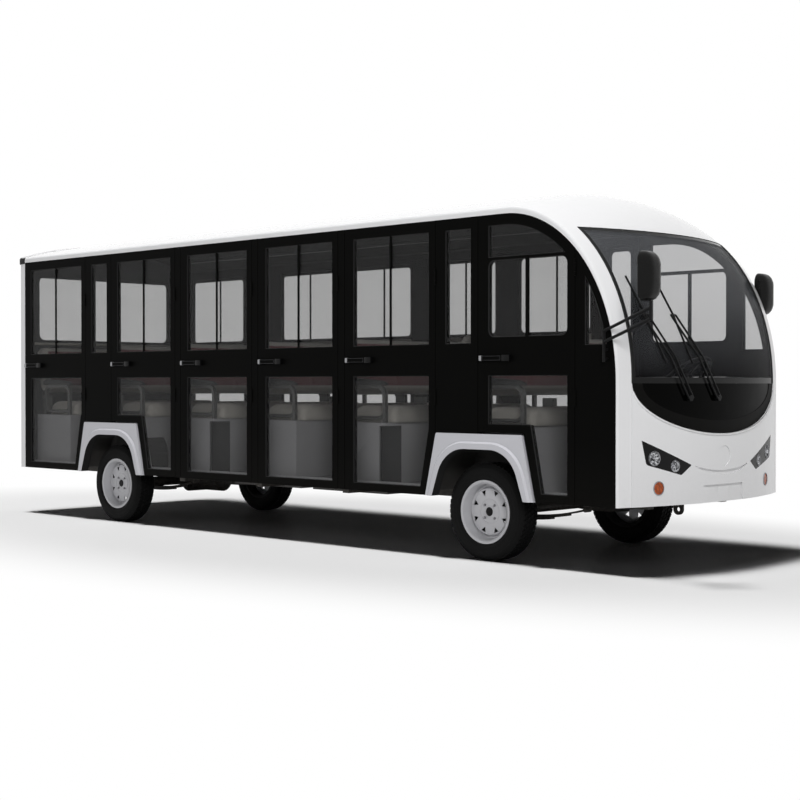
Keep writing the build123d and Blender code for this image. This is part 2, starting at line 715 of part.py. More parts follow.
front_station = DOOR_1_FRONT_STATION
for kind, length in BAYS:
    x1, x0 = at(front_station), at(front_station - length)
    fixed_outline = bay_outline(x0, x1, SEAM, SEAM)
    if kind == "door":
        first = not doors
        windows, upright = bay_windows(kind, x0, x1, first)
        door = side_prism(
            bay_outline(x0, x1, DOOR_GAP, FLARE_GAP) - windows, -HALF_WIDTH, -HALF_WIDTH + DOOR_THICKNESS
        )
        doors.append(add_door_barrels(door + upright + handle(x0), x1))
        door_panes.append(panes(windows))
        carrier = add_hinge_pins(previous, x1)
        right_panels.append(carrier)
        left_panels.append(mirrored(carrier if first else previous))
        if not first:
            left_panels.append(mirrored(wall(fixed_outline - windows) + upright))
            side_panes.extend(mirrored(pane) for pane in door_panes[-1])
    elif kind == "panel":
        windows = bay_windows(kind, x0, x1, False)[0]
        previous = wall(fixed_outline - windows)
        side_panes.extend(both_sides(panes(windows)[0]))
    else:
        previous = wall(fixed_outline)
        post_stations.append(front_station - length / 2)
    front_station -= length


# Flares and wheel housings
def flare(axle_station):
    """Right-hand flare: a flat plate with a raised, bevelled band round the wheel opening."""
    opening = arch_outline(axle_station)
    plate = side_prism(flare_outline(axle_station), -HALF_WIDTH - FLARE_PROUD, -HALF_WIDTH + WALL)
    band = side_prism(arch_outline(axle_station, BAND_WIDTH), -HALF_WIDTH - BAND_PROUD, -HALF_WIDTH)
    rim_edges = [edge for edge in band.faces().sort_by(Axis.Y)[0].edges() if edge.center().Z > SILL_Z + 1]
    band = chamfer(rim_edges, BAND_CHAMFER)
    return plate + band - side_prism(opening, -HALF_WIDTH - BAND_PROUD, -HALF_WIDTH + WALL)


def housing_outline(axle_station, grow):
    """Side outline of a wheel housing."""
    x = at(axle_station)
    half = HOUSING_HALF + grow
    return round_top(
        rectangle(x - half, x + half, DECK_BOTTOM_Z, HOUSING_TOP_Z + grow), HOUSING_ROUND + grow
    )


flares, housings, housing_spaces = [], [], []
for axle_station in AXLE_STATIONS:
    flares.extend(both_sides(flare(axle_station)))
    inner_y = HOUSING_Y[axle_station]
    housing = side_prism(housing_outline(axle_station, HOUSING_SHEET), -DECK_HALF, -inner_y)
    housing -= side_prism(housing_outline(axle_station, 0), -HALF_WIDTH, -inner_y - HOUSING_SHEET)
    housings.extend(both_sides(housing))
    space = side_prism(housing_outline(axle_station, HOUSING_SHEET + SEAM), -HALF_WIDTH, -inner_y + SEAM)
    housing_spaces.extend(both_sides(space))

# Floor deck with openings for the wheel housings
deck = block(at(REAR_CORNER_STATION), REACH, -DECK_HALF, DECK_HALF, DECK_BOTTOM_Z, FLOOR_Z) & inner_space
for axle_station in AXLE_STATIONS:
    x = at(axle_station)
    half = HOUSING_HALF + HOUSING_SHEET
    opening = block(x - half, x + half, -REACH, -HOUSING_Y[axle_station], DECK_BOTTOM_Z, FLOOR_Z)
    for cut in both_sides(opening):
        deck -= cut

# Chassis: two rails with spring hangers, cross members with tow eyes, and outriggers under the posts
rail_rear_station = REAR_CORNER_STATION + RAIL_REAR_GAP
rail = block(
    at(rail_rear_station), at(RAIL_FRONT_STATION), -RAIL_OUTER, -RAIL_INNER, RAIL_BOTTOM_Z, DECK_BOTTOM_Z
)
for axle_station in AXLE_STATIONS:
    for end in (-1, 1):
        x = at(axle_station) + end * SPRING_HALF_LENGTH
        rail += block(
            x - SPRING_EYE, x + SPRING_EYE, -RAIL_Y - SPRING_WIDTH / 2, -RAIL_Y + SPRING_WIDTH / 2,
            SPRING_EYE_Z + SPRING_EYE + SEAM, RAIL_BOTTOM_Z,
        )
rails = both_sides(rail)


def tow_eye(station):
    """Bored plate hanging under the middle of a cross member."""
    centre = Pos(at(station), 0, TOW_Z) * Rot(90, 0, 0)
    plate = centre * Cylinder(TOW_RADIUS, TOW_PLATE)
    plate += block(
        at(station) - TOW_RADIUS, at(station) + TOW_RADIUS, -TOW_PLATE / 2, TOW_PLATE / 2,
        TOW_Z, CROSS_BOTTOM_Z,
    )
    return plate - centre * Cylinder(TOW_BORE, TOW_PLATE)


cross_stations = (
    *FRONT_CROSS_STATIONS,
    *post_stations,
    CROSS_AHEAD_OF_REAR_AXLE - WHEELBASE,
    -CROSS_BEHIND_REAR_AXLE - WHEELBASE,
    REAR_CORNER_STATION + REAR_CROSS_GAP,
)
cross_members = []
for station in cross_stations:
    x0, x1 = at(station) - CROSS_WIDTH / 2, at(station) + CROSS_WIDTH / 2
    member = block(x0, x1, -RAIL_INNER, RAIL_INNER, CROSS_BOTTOM_Z, DECK_BOTTOM_Z)
    if station in (cross_stations[0], cross_stations[-1]):
        member += tow_eye(station)
    cross_members.append(member)
    if station in post_stations:
        outrigger = block(x0, x1, -DECK_HALF, -RAIL_OUTER, CROSS_BOTTOM_Z, DECK_BOTTOM_Z)
        cross_members.extend(both_sides(outrigger))

# Battery pack: a flat tray between the rails in each space between two posts
battery_top_z = DECK_BOTTOM_Z - BATTERY_DECK_GAP
battery_margin = CROSS_WIDTH / 2 + BATTERY_GAP
battery = [
    block(
        at(rear + battery_margin), at(ahead - battery_margin),
        -RAIL_INNER, RAIL_INNER, battery_top_z - BATTERY_HEIGHT, battery_top_z,
    )
    for ahead, rear in zip(post_stations, post_stations[1:])
]


# Leaf springs under the axles
def leaf_spring(axle_station, side):
    """Stack of curved leaves with an eye at each end."""
    spring = Part()
    x = at(axle_station)
    bend = (SPRING_HALF_LENGTH ** 2 + SPRING_SAG ** 2) / (2 * SPRING_SAG)
    y0 = side * RAIL_Y - SPRING_WIDTH / 2
    for layer, half in enumerate(LEAF_HALF_LENGTHS):
        radius = bend + layer * LEAF
        ring = Circle(radius + LEAF) - Circle(radius)
        strip = Pos(x, SPRING_SEAT_Z + bend) * ring
        strip &= rectangle(x - half, x + half, 0, SPRING_SEAT_Z + SPRING_SAG + LEAF)
        spring += side_prism(strip, y0, y0 + SPRING_WIDTH)
    for end in (-1, 1):
        eye = Pos(x + end * SPRING_HALF_LENGTH, side * RAIL_Y, SPRING_EYE_Z)
        spring += eye * Rot(90, 0, 0) * Cylinder(SPRING_EYE, SPRING_WIDTH)
    return spring


def add_spring_seats(axle, axle_station, top_z):
    """The axle with its seats on the two springs."""
    x = at(axle_station)
    seat = block(
        x - SPRING_SEAT_HALF, x + SPRING_SEAT_HALF, RAIL_Y - SPRING_WIDTH / 2, RAIL_Y + SPRING_WIDTH / 2,
        SPRING_SEAT_Z + SEAM, top_z,
    )
    for piece in both_sides(seat):
        axle += piece
    return axle


springs = [leaf_spring(axle_station, side) for axle_station in AXLE_STATIONS for side in (-1, 1)]

# Front axle, knuckles and tie rod
axle_x = at(0)
arm_x = axle_x - STEER_ARM
ear_z = KNUCKLE_BOSS_HALF + EAR_GAP
knuckle_half = ear_z + EAR_THICKNESS
front_axle = along_y(axle_x, -KINGPIN_Y, KINGPIN_Y, AXLE_Z, BEAM_RADIUS)
front_axle = add_spring_seats(front_axle, 0, AXLE_Z - BEAM_RADIUS / 2)
between_kingpins = block(axle_x - REACH, axle_x + REACH, -KINGPIN_Y, KINGPIN_Y, 0, REACH)
for side in (-1, 1):
    boss = Pos(axle_x, side * KINGPIN_Y, AXLE_Z)
    front_axle -= boss * Cylinder(KNUCKLE_BOSS + BOSS_CLEARANCE, 2 * KNUCKLE_BOSS_HALF) - between_kingpins
    front_axle += boss * Cylinder(KNUCKLE_BOSS, 2 * KNUCKLE_BOSS_HALF)
    front_axle -= boss * Cylinder(KINGPIN_RADIUS + FIT_PLAY, 2 * KNUCKLE_BOSS_HALF)


def knuckle():
    """Left steering knuckle with kingpin, spindle and steering arm."""
    low_z, arm_z = AXLE_Z - knuckle_half, AXLE_Z + ear_z
    piece = block(
        axle_x - KNUCKLE_BODY_HALF, axle_x + KNUCKLE_BODY_HALF, KINGPIN_Y + KNUCKLE_NEAR,
        KINGPIN_Y + KNUCKLE_FAR, low_z, AXLE_Z + knuckle_half,
    )
    for z in (low_z, arm_z):
        piece += block(
            axle_x - EAR_HALF, axle_x + EAR_HALF, KINGPIN_Y - EAR_HALF, KINGPIN_Y + KNUCKLE_FAR,
            z, z + EAR_THICKNESS,
        )
    piece += Pos(axle_x, KINGPIN_Y, AXLE_Z) * Cylinder(KINGPIN_RADIUS, 2 * knuckle_half)
    piece += along_y(axle_x, KINGPIN_Y + KNUCKLE_NEAR, WHEEL_Y + SPINDLE_TIP, AXLE_Z, SPINDLE_RADIUS)
    piece += block(
        arm_x - TIE_EYE_RADIUS, axle_x, KINGPIN_Y - STEER_ARM_WIDTH / 2, KINGPIN_Y + STEER_ARM_WIDTH / 2,
        arm_z, arm_z + STEER_ARM_THICKNESS,
    )
    piece += rod(
        (arm_x, KINGPIN_Y, TIE_ROD_Z - TIE_PIN_TAIL), (arm_x, KINGPIN_Y, arm_z + STEER_ARM_THICKNESS),
        TIE_PIN_RADIUS,
    )
    return piece


tie_rod = along_y(arm_x, -KINGPIN_Y, KINGPIN_Y, TIE_ROD_Z, TIE_ROD_RADIUS)
for side in (-1, 1):
    eye = Pos(arm_x, side * KINGPIN_Y, TIE_ROD_Z)
    tie_rod += eye * Cylinder(TIE_EYE_RADIUS, TIE_EYE_HEIGHT)
    tie_rod -= eye * Cylinder(TIE_PIN_RADIUS + FIT_PLAY, TIE_EYE_HEIGHT)

# Rear axle with its drive unit
rear_x = at(-WHEELBASE)
tube_half = WHEEL_Y - REAR_TUBE_SETBACK
spindle_half = WHEEL_Y + SPINDLE_TIP
rear_axle = along_y(rear_x, -tube_half, tube_half, AXLE_Z, REAR_TUBE_RADIUS)
rear_axle += along_y(rear_x, -spindle_half, spindle_half, AXLE_Z, SPINDLE_RADIUS)
rear_axle += along_y(rear_x, -DIFF_HALF_WIDTH, DIFF_HALF_WIDTH, AXLE_Z, DIFF_RADIUS)
rear_axle += rod((rear_x, 0, AXLE_Z), (rear_x + MOTOR_LENGTH, 0, AXLE_Z), MOTOR_RADIUS)
rear_axle = add_spring_seats(rear_axle, -WHEELBASE, AXLE_Z - REAR_TUBE_RADIUS / 2)


# Wheels, drawn about Z with the outer side up and then turned
def revolved(points):
    """Ring or disc from half-section points given as radius and offset."""
    return revolve(Plane.XZ * outline(points), Axis.Z)


def even_ring(upper):
    """Ring whose section is the same on both sides of the wheel's middle plane."""
    return revolved(upper + [(radius, -offset) for radius, offset in reversed(upper)])


def make_tyre():
    """Tyre on its bead seats, with a tapered shoulder."""
    half = TYRE_WIDTH / 2
    flange = BEAD_RADIUS + FLANGE_HEIGHT
    return even_ring([
        (BEAD_RADIUS + FIT_PLAY, BEAD_HALF_WIDTH - FIT_PLAY),
        (flange, BEAD_HALF_WIDTH + FLANGE_SLOPE - FIT_PLAY),
        (TYRE_RADIUS - TYRE_SIDEWALL, half),
        (TYRE_RADIUS, half - TYRE_SHOULDER),
    ])


def make_rim():
    """Steel wheel: rim with sloped flanges, dished disc with triangular vents, and hub."""
    inside = BEAD_RADIUS - RIM_SHEET
    flange = BEAD_RADIUS + FLANGE_HEIGHT
    lip = BEAD_HALF_WIDTH + FLANGE_SLOPE + FLANGE_LIP
    rim = even_ring([
        (inside, lip), (flange, lip), (flange, lip - FLANGE_LIP), (BEAD_RADIUS, BEAD_HALF_WIDTH),
    ])
    bore = SPINDLE_RADIUS + FIT_PLAY
    face = [
        (BEAD_RADIUS - RIM_SHEET / 2, DISC_EDGE_OFFSET), (DISC_VALLEY_RADIUS, DISC_EDGE_OFFSET),
        (DISC_CROWN_RADIUS, DISC_CROWN_OFFSET), (bore, DISC_CROWN_OFFSET),
    ]
    rim += revolved(face + [(radius, offset - DISC_SHEET) for radius, offset in reversed(face)])
    rim += revolved([(bore, -HUB_INNER), (HUB_RADIUS, -HUB_INNER), (HUB_RADIUS, HUB_OUTER), (bore, HUB_OUTER)])
    vent = outline([
        (VENT_INNER_RADIUS, 0), (VENT_OUTER_RADIUS, -VENT_HALF_WIDTH), (VENT_OUTER_RADIUS, VENT_HALF_WIDTH),
    ])
    for index in range(VENT_COUNT):
        rim -= Rot(0, 0, (index + 0.5) * 360 / VENT_COUNT) * extrude(vent, amount=HUB_OUTER)
    return rim


WHEELS = (
    ("front_right", 0.0, -1),
    ("front_left", 0.0, 1),
    ("rear_right", -WHEELBASE, -1),
    ("rear_left", -WHEELBASE, 1),
)


# Seats
def arm_frame(x0, x1, y):
    """Arm rest bent from square tube, standing on the seat base."""
    top_z = BASE_TOP_Z + ARM_RISE
    tube = round_top(rectangle(x0, x1, BASE_TOP_Z, top_z), ARM_ROUND)
    tube -= round_top(
        rectangle(x0 + ARM_TUBE, x1 - ARM_TUBE, 0, top_z - ARM_TUBE), ARM_ROUND - ARM_TUBE
    )
    return side_prism(tube, y - ARM_TUBE / 2, y + ARM_TUBE / 2)


lean = math.tan(math.radians(BACK_LEAN)) * (BACK_TOP_Z - BACK_BOTTOM_Z)
cushions, backs, bases, frames = [], [], [], []
for row, station in enumerate(ROW_STATIONS, start=1):
    x1 = at(station)
    x0 = x1 - CUSHION_DEPTH
    back_x = x0 - BACK_THICKNESS
    cushion = block(
        x0, x1, -CUSHION_HALF_WIDTH, CUSHION_HALF_WIDTH, BASE_TOP_Z + SEAM, BASE_TOP_Z + CUSHION_THICKNESS
    )
    cushions.append(fillet(cushion.edges().group_by(Axis.Z)[-1], CUSHION_ROUND))
    back = side_prism(outline([
        (x0, BACK_BOTTOM_Z), (x0 - lean, BACK_TOP_Z), (back_x - lean, BACK_TOP_Z), (back_x, BACK_BOTTOM_Z),
    ]), -CUSHION_HALF_WIDTH, CUSHION_HALF_WIDTH)
    backs.append(fillet(back.edges().filter_by(Axis.Y), BACK_ROUND))
    base_x = x1 - BASE_SETBACK
    foot_x = x1 + FIRST_BASE_FOOT if row == 1 else base_x
    base = side_prism(outline([
        (back_x, FLOOR_Z), (foot_x, FLOOR_Z), (base_x, BASE_TOP_Z), (back_x, BASE_TOP_Z),
    ]), -SEAT_HALF_WIDTH, SEAT_HALF_WIDTH)
    for space in housing_spaces:
        base -= space
    if row in OPEN_ROWS:
        inner_y, panel_y = SEAT_HALF_WIDTH - LOCKER_WIDTH, SEAT_HALF_WIDTH - BASE_SHEET
        shelf_z = BASE_TOP_Z - BASE_SHEET
        locker = block(base_x - LOCKER_DEPTH, base_x, inner_y, panel_y, FLOOR_Z, shelf_z)
        locker += block(base_x - LOCKER_NOTCH, base_x, inner_y, SEAT_HALF_WIDTH, FLOOR_Z, shelf_z)
        for cut in both_sides(locker):
            base -= cut
    bases.append(base)
    for side in (-1, 0, 1):
        y = side * (CUSHION_HALF_WIDTH - BRACKET_WIDTH)
        frames.append(block(
            back_x, x0 - BRACKET_GAP, y - BRACKET_WIDTH / 2, y + BRACKET_WIDTH / 2,
            BASE_TOP_Z, BACK_BOTTOM_Z - SEAM,
        ))
    frames.extend(both_sides(arm_frame(x0 + ARM_REAR, x1 - ARM_FRONT, ARM_Y)))

# Dashboard and steering wheel
dash_x = at(DASH_REAR_STATION)
dash_half = HALF_WIDTH - DASH_SIDE_GAP
dashboard = side_prism(outline([
    (dash_x, DASH_BOTTOM_Z), (REACH, DASH_BOTTOM_Z), (REACH, DASH_TOP_Z),
    (dash_x + DASH_BEVEL_DEPTH, DASH_TOP_Z), (dash_x, DASH_TOP_Z - DASH_BEVEL_DROP),
]), -dash_half, dash_half) & inner_space
tilt = math.radians(STEER_TILT)
column_axis = Vector(-math.cos(tilt), 0, math.sin(tilt))
wheel_centre = Vector(at(STEER_WHEEL_STATION), STEER_WHEEL_Y, STEER_WHEEL_Z)
column_top = wheel_centre - column_axis * (STEER_HUB_DROP + STEER_HUB_HEIGHT / 2 + SEAM)
column_foot = column_top - column_axis * COLUMN_LENGTH
column = rod(tuple(column_foot), tuple(column_top), COLUMN_RADIUS) - dashboard
rim_corners = [
    (STEER_WHEEL_RADIUS + STEER_RIM * math.cos(angle), STEER_RIM * math.sin(angle))
    for angle in (math.radians(22.5 + 45 * corner) for corner in range(8))
]
steering_wheel = revolved(rim_corners)
steering_wheel += Pos(0, 0, -STEER_HUB_DROP) * Cylinder(STEER_HUB_RADIUS, STEER_HUB_HEIGHT)
for angle in SPOKE_ANGLES:
    spoke = Pos(STEER_WHEEL_RADIUS / 2, 0) * Box(STEER_WHEEL_RADIUS, SPOKE_WIDTH, SPOKE_THICKNESS)
    steering_wheel += Rot(0, 0, angle) * spoke
steering_wheel = Plane(wheel_centre, x_dir=(0, 1, 0), z_dir=column_axis) * steering_wheel


# Mirrors
def mirror_housing(station, side):
    """Rounded mirror housing."""
    shell = Pos(at(station), side * MIRROR_Y, MIRROR_Z) * Box(MIRROR_DEPTH, MIRROR_WIDTH, MIRROR_HEIGHT)
    return fillet(shell.edges(), MIRROR_ROUND)


mirror_bottom_z = MIRROR_Z - MIRROR_HEIGHT / 2
pin_x, pin_y = at(ARM_PIN_STATION), -HALF_WIDTH - ARM_PIN_STAND_OFF
stub_x = at(RIGHT_MIRROR_STATION)
stub_z = mirror_bottom_z - ARM_STUB
right_mirror = mirror_housing(RIGHT_MIRROR_STATION, -1)
right_mirror += bent_rod([
    (pin_x, pin_y, ARM_PIN_BOTTOM_Z), (pin_x, pin_y, ARM_PIN_TOP_Z + ARM_LOOP_HEIGHT),
    (stub_x, -MIRROR_Y, stub_z),
], MIRROR_TUBE)
right_mirror += bent_rod([
    (pin_x, pin_y, ARM_PIN_TOP_Z), (stub_x, -MIRROR_Y, stub_z - ARM_LOOP_HEIGHT),
    (stub_x, -MIRROR_Y, MIRROR_Z),
], MIRROR_TUBE)
for z in ARM_CLIP_HEIGHTS:
    right_mirror += block(
        pin_x - MIRROR_TUBE, pin_x + MIRROR_TUBE, pin_y, -HALF_WIDTH,
        z - ARM_CLIP_HEIGHT / 2, z + ARM_CLIP_HEIGHT / 2,
    )
left_x = at(LEFT_MIRROR_STATION)
left_mirror = mirror_housing(LEFT_MIRROR_STATION, 1)
left_mirror += bent_rod([
    (left_x, HALF_WIDTH, LEFT_STALK_Z), (left_x, MIRROR_Y, LEFT_STALK_Z), (left_x, MIRROR_Y, MIRROR_Z),
], MIRROR_TUBE)
mirrors = [right_mirror, left_mirror]


# Wipers with twin arms
def off_glass(y, rise, distance=WIPER_OFF_GLASS):
    """Point in front of the windshield, at a rise over its bottom edge."""
    z = SHIELD_BOTTOM_Z + rise
    return (front_x(y, z, -distance), y, z)


def wiper(pivot_y, carrier_y, blade_top_y):
    """Two parallel arms on spindles, and the blade that they carry."""
    piece = bent_rod([
        off_glass(carrier_y + WIPER_BLADE_SHIFT, WIPER_BLADE_BOTTOM_RISE),
        off_glass(carrier_y, WIPER_CARRIER_RISE),
        off_glass(blade_top_y, WIPER_BLADE_TOP_RISE),
    ], WIPER_ROD)
    middle_rise = (WIPER_CARRIER_RISE - WIPER_PIVOT_DROP) / 2
    for shift in (-WIPER_ARM_HALF_PITCH, WIPER_ARM_HALF_PITCH):
        foot_y, tip_y = pivot_y + shift, carrier_y + shift
        piece += bent_rod([
            off_glass(foot_y, -WIPER_PIVOT_DROP),
            off_glass((foot_y + tip_y) / 2, middle_rise, WIPER_OFF_GLASS + WIPER_BOW),
            off_glass(tip_y, WIPER_CARRIER_RISE),
        ], WIPER_ROD)
    piece += rod(
        off_glass(carrier_y - WIPER_ARM_HALF_PITCH, WIPER_CARRIER_RISE),
        off_glass(carrier_y + WIPER_ARM_HALF_PITCH, WIPER_CARRIER_RISE), WIPER_ROD,
    )
    seat = Vector(*off_glass(pivot_y, -WIPER_PIVOT_DROP, SEAM - APRON_INSET - APRON_PANEL_DEPTH))
    normal = Vector(1, 2 * ROOF_CROWN * pivot_y / HALF_WIDTH ** 2, 0).normalized()
    piece += rod(tuple(seat), tuple(seat + normal * WIPER_SPINDLE), WIPER_SPINDLE_RADIUS)
    return piece


wipers = [wiper(*places) for places in WIPERS]


# Rear panel, window and tail lamps
def rear_plan(grow):
    """Plan of the rear end, drawn in by grow, with a slight bow."""
    corner_x, front_edge_x = at(ROOF_END_STATION) + grow, at(REAR_CORNER_STATION)
    edge = HALF_WIDTH - min(grow, SHELL)
    lines = Polyline((corner_x, -edge), (front_edge_x, -edge), (front_edge_x, edge), (corner_x, edge))
    arc = ThreePointArc((corner_x, edge), (corner_x - REAR_BULGE, 0), (corner_x, -edge))
    return make_face([*lines.edges(), arc.edge()])


def rear_layer(sketch, inset, depth):
    """Bowed sheet at the rear, under an outline drawn in Y and Z."""
    layer = extrude(rear_plan(inset), amount=REACH) - extrude(rear_plan(inset + depth), amount=REACH)
    return layer & front_prism(sketch, -REACH, at(REAR_CORNER_STATION))


window_half = HALF_WIDTH - REAR_WINDOW_SIDE
rear_window_outline = rounded(
    -window_half, window_half, REAR_WINDOW_BOTTOM_Z, ROOFLINE_Z - REAR_WINDOW_HEADER, REAR_WINDOW_ROUND
)
rear_panel = rear_layer(rectangle(-HALF_WIDTH, HALF_WIDTH, SILL_Z, ROOFLINE_Z), 0, REAR_PANEL)
rear_panel -= front_prism(rear_window_outline, -REACH, at(REAR_CORNER_STATION))
rear_window = rear_layer(rear_window_outline, REAR_WINDOW_INSET, PANE)
tail_lamps = []
for side in (-1, 1):
    tail_y = side * (HALF_WIDTH - TAIL_SIDE)
    tail_outline = rounded(
        tail_y - TAIL_HALF_WIDTH, tail_y + TAIL_HALF_WIDTH, TAIL_BOTTOM_Z, TAIL_TOP_Z, TAIL_ROUND
    )
    tail_lamp = rear_layer(tail_outline, 0, TAIL_DEPTH)
    rear_panel -= tail_lamp
    tail_lamps.append(tail_lamp)

NODES = {
    "chassis_rails": rails,
    "cross_members": cross_members,
    "battery_pack": battery,
    "floor_deck": deck,
    "wheel_housings": housings,
    "front_axle": front_axle,
    "rear_axle": rear_axle,
    "leaf_springs": springs,
    "roof_shell": roof,
    "front_hoops": hoops,
    "nose_panel": nose,
    "windshield_apron": apron,
    "windshield": shield,
    "lamp_housings": lamp_housings,
    "headlamps": lenses,
    "turn_lamps": turn_lamps,
    "wipers": wipers,
    "mirrors": mirrors,
    "right_side_panels": right_panels,
    "left_side_panels": left_panels,
    "side_glass": side_panes,
    "rear_panel": rear_panel,
    "rear_window": rear_window,
    "tail_lamps": tail_lamps,
    "wheel_arches": flares,
    "seat_bases": bases,
    "seat_cushions": cushions,
    "seat_backs": backs,
    "seat_frames": frames,
    "dashboard": dashboard,
    "steering_column": column,
    "steering_wheel": steering_wheel,
    "knuckle_left": knuckle(),
    "knuckle_right": mirrored(knuckle()),
    "tie_rod": tie_rod,
    "left_door": mirrored(doors[0]),
    "left_door_glass": [mirrored(pane) for pane in door_panes[0]],
}
for number, (door, glass) in enumerate(zip(doors, door_panes), start=1):
    NODES[f"right_door_{number}"] = door
    NODES[f"right_door_{number}_glass"] = glass
tyre, rim = make_tyre(), make_rim()
for name, station, side in WHEELS:
    place = Pos(at(station), side * WHEEL_Y, AXLE_Z) * Rot(-side * 90, 0, 0)
    NODES[f"tyre_{name}"] = place * tyre
    NODES[f"rim_{name}"] = place * rim

os.makedirs("parts", exist_ok=True)
for name, shapes in NODES.items():
    save(name, shapes)
print(len(NODES), "nodes written")
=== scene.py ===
# %% [markdown]
# # A sightseeing car, dressed around its CAD frame
# The CAD model already fixes every size, joint and place. This lesson loads it as a frame, then gives each
# piece its real surface: paint, glass, rubber, leatherette and steel, and adds the small things that CAD
# leaves out, such as tread, wheel nuts, window rubbers and seat padding. All lengths are metres.

# %% Load the frame
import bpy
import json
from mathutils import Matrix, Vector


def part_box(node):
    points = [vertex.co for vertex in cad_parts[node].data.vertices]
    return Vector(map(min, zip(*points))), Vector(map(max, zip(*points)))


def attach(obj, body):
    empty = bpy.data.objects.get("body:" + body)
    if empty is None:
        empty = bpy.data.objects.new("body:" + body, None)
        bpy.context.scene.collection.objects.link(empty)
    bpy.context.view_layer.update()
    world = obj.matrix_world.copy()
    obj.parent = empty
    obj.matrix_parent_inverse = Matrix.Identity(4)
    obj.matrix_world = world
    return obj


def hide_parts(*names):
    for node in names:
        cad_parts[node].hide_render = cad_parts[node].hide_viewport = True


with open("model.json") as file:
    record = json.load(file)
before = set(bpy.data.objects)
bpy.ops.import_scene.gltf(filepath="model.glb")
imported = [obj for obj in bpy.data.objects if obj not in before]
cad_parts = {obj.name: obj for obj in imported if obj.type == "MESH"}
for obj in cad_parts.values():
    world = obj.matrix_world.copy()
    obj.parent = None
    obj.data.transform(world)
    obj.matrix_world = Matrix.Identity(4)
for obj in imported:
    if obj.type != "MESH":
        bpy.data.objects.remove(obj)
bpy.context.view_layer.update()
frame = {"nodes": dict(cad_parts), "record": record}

import json
import math
import bmesh
import bpy
from mathutils import Matrix, Vector
from mathutils.bvhtree import BVHTree

scene = bpy.context.scene
nodes = frame["nodes"]
record = frame["record"]
body_of = {node: body for body, group in record["behaviour"]["bodies"].items() for node in group}

# %% [markdown]
# ## Landmarks
# A few places come back in many cells: the axles, the half width, the seam where the front hoops meet the
# nose. They are read from the frame's boxes, so that the dressing follows the CAD model when its sizes
# change.

# %% Landmarks from the frame
def middle(node):
    """Centre of a node's box."""
    low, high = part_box(node)
    return (low + high) / 2


def side_of(y):
    """One on the car's left, minus one on its right."""
    return 1 if y > 0 else -1


front_axle = middle("tyre_front_right")
rear_axle = middle("tyre_rear_right")
tyre_radius = front_axle.z
half_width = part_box("front_hoops")[1].y
seam_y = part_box("windshield")[1].y
glass_low, glass_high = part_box("windshield")
apron_drop = glass_low.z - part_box("windshield_apron")[0].z
doors = ["left_door"] + [f"right_door_{number}" for number in range(1, 7)]
WHEELS = {"front_right": -1, "front_left": 1, "rear_right": -1, "rear_left": 1}
print("axles", round(front_axle.x, 3), round(rear_axle.x, 3), "seam", round(seam_y, 3))

# %% [markdown]
# ## Camera
# The photograph looks at the front right corner from about a metre up, with a longish lens. The place, turn
# and focal length were fitted to the wheels, the roof line and the front corner, so the camera is set by
# numbers instead of by eye.

# %% Camera at the photograph's place
CAMERA_FROM_FRONT_AXLE = Vector((5.930, -7.730, 1.080))
CAMERA_YAW = math.radians(43.85)
CAMERA_PITCH = math.radians(-0.604)
FOCAL_PIXELS = 1491.7
IMAGE_PIXELS = 800.0
SENSOR = 36.0

camera = bpy.data.objects.new("photo_camera", bpy.data.cameras.new("photo_camera"))
scene.collection.objects.link(camera)
look = Vector((
    -math.sin(CAMERA_YAW) * math.cos(CAMERA_PITCH),
    math.cos(CAMERA_YAW) * math.cos(CAMERA_PITCH),
    math.sin(CAMERA_PITCH),
))
camera.location = Vector((front_axle.x, 0, 0)) + CAMERA_FROM_FRONT_AXLE
camera.rotation_euler = look.to_track_quat("-Z", "Y").to_euler()
camera.data.sensor_width = SENSOR
camera.data.lens = FOCAL_PIXELS / IMAGE_PIXELS * SENSOR
scene.camera = camera
print("lens", round(camera.data.lens, 2), "mm")

# %% [markdown]
# ## Node helpers
# Every finish is a small node tree. `put` adds one node, fills its sockets by name and links where a value is
# itself a socket, which keeps a material readable as a short list of steps. `feed` links the results to the
# shader.

# %% Helpers for material trees
EVEN = (1.0, 1.0, 1.0)


def put(tree, kind, values=None, **settings):
    """Add a node; values are numbers or sockets, by input name or index."""
    node = tree.nodes.new(kind)
    for key, value in settings.items():
        setattr(node, key, value)
    for key, value in (values or {}).items():
        if isinstance(value, bpy.types.NodeSocket):
            tree.links.new(value, node.inputs[key])
        else:
            node.inputs[key].default_value = value
    return node


def new_finish(name, **constants):
    """A node material; constants go straight onto the shader's own sockets."""
    material = bpy.data.materials.new(name)
    material.use_nodes = True
    tree = material.node_tree
    shader = tree.nodes["Principled BSDF"]
    for key, value in constants.items():
        shader.inputs[key.replace("_", " ")].default_value = value
    place = put(tree, "ShaderNodeTexCoord").outputs["Object"]
    return material, tree, shader, place


def feed(tree, shader, **sockets):
    """Link sockets to the shader's inputs by name."""
    for key, socket in sockets.items():
        tree.links.new(socket, shader.inputs[key.replace("_", " ")])


def combine(tree, first, second, operation):
    """One Math node."""
    return put(tree, "ShaderNodeMath", {0: first, 1: second}, operation=operation).outputs[0]


def step(tree, value, edge, softness=0.002):
    """Nought below an edge and one above it."""
    return put(tree, "ShaderNodeMapRange", {
        "Value": value, "From Min": edge - softness, "From Max": edge + softness}).outputs[0]


def between(tree, factor, low, high):
    """Spread a zero-to-one factor over a range."""
    return put(tree, "ShaderNodeMapRange", {"Value": factor, "To Min": low, "To Max": high}).outputs[0]


def blend_colours(tree, factor, first, second):
    """Mix two colours, each a tuple or a socket."""
    return put(tree, "ShaderNodeMix", {"Factor": factor, 6: first, 7: second}, data_type="RGBA").outputs[2]


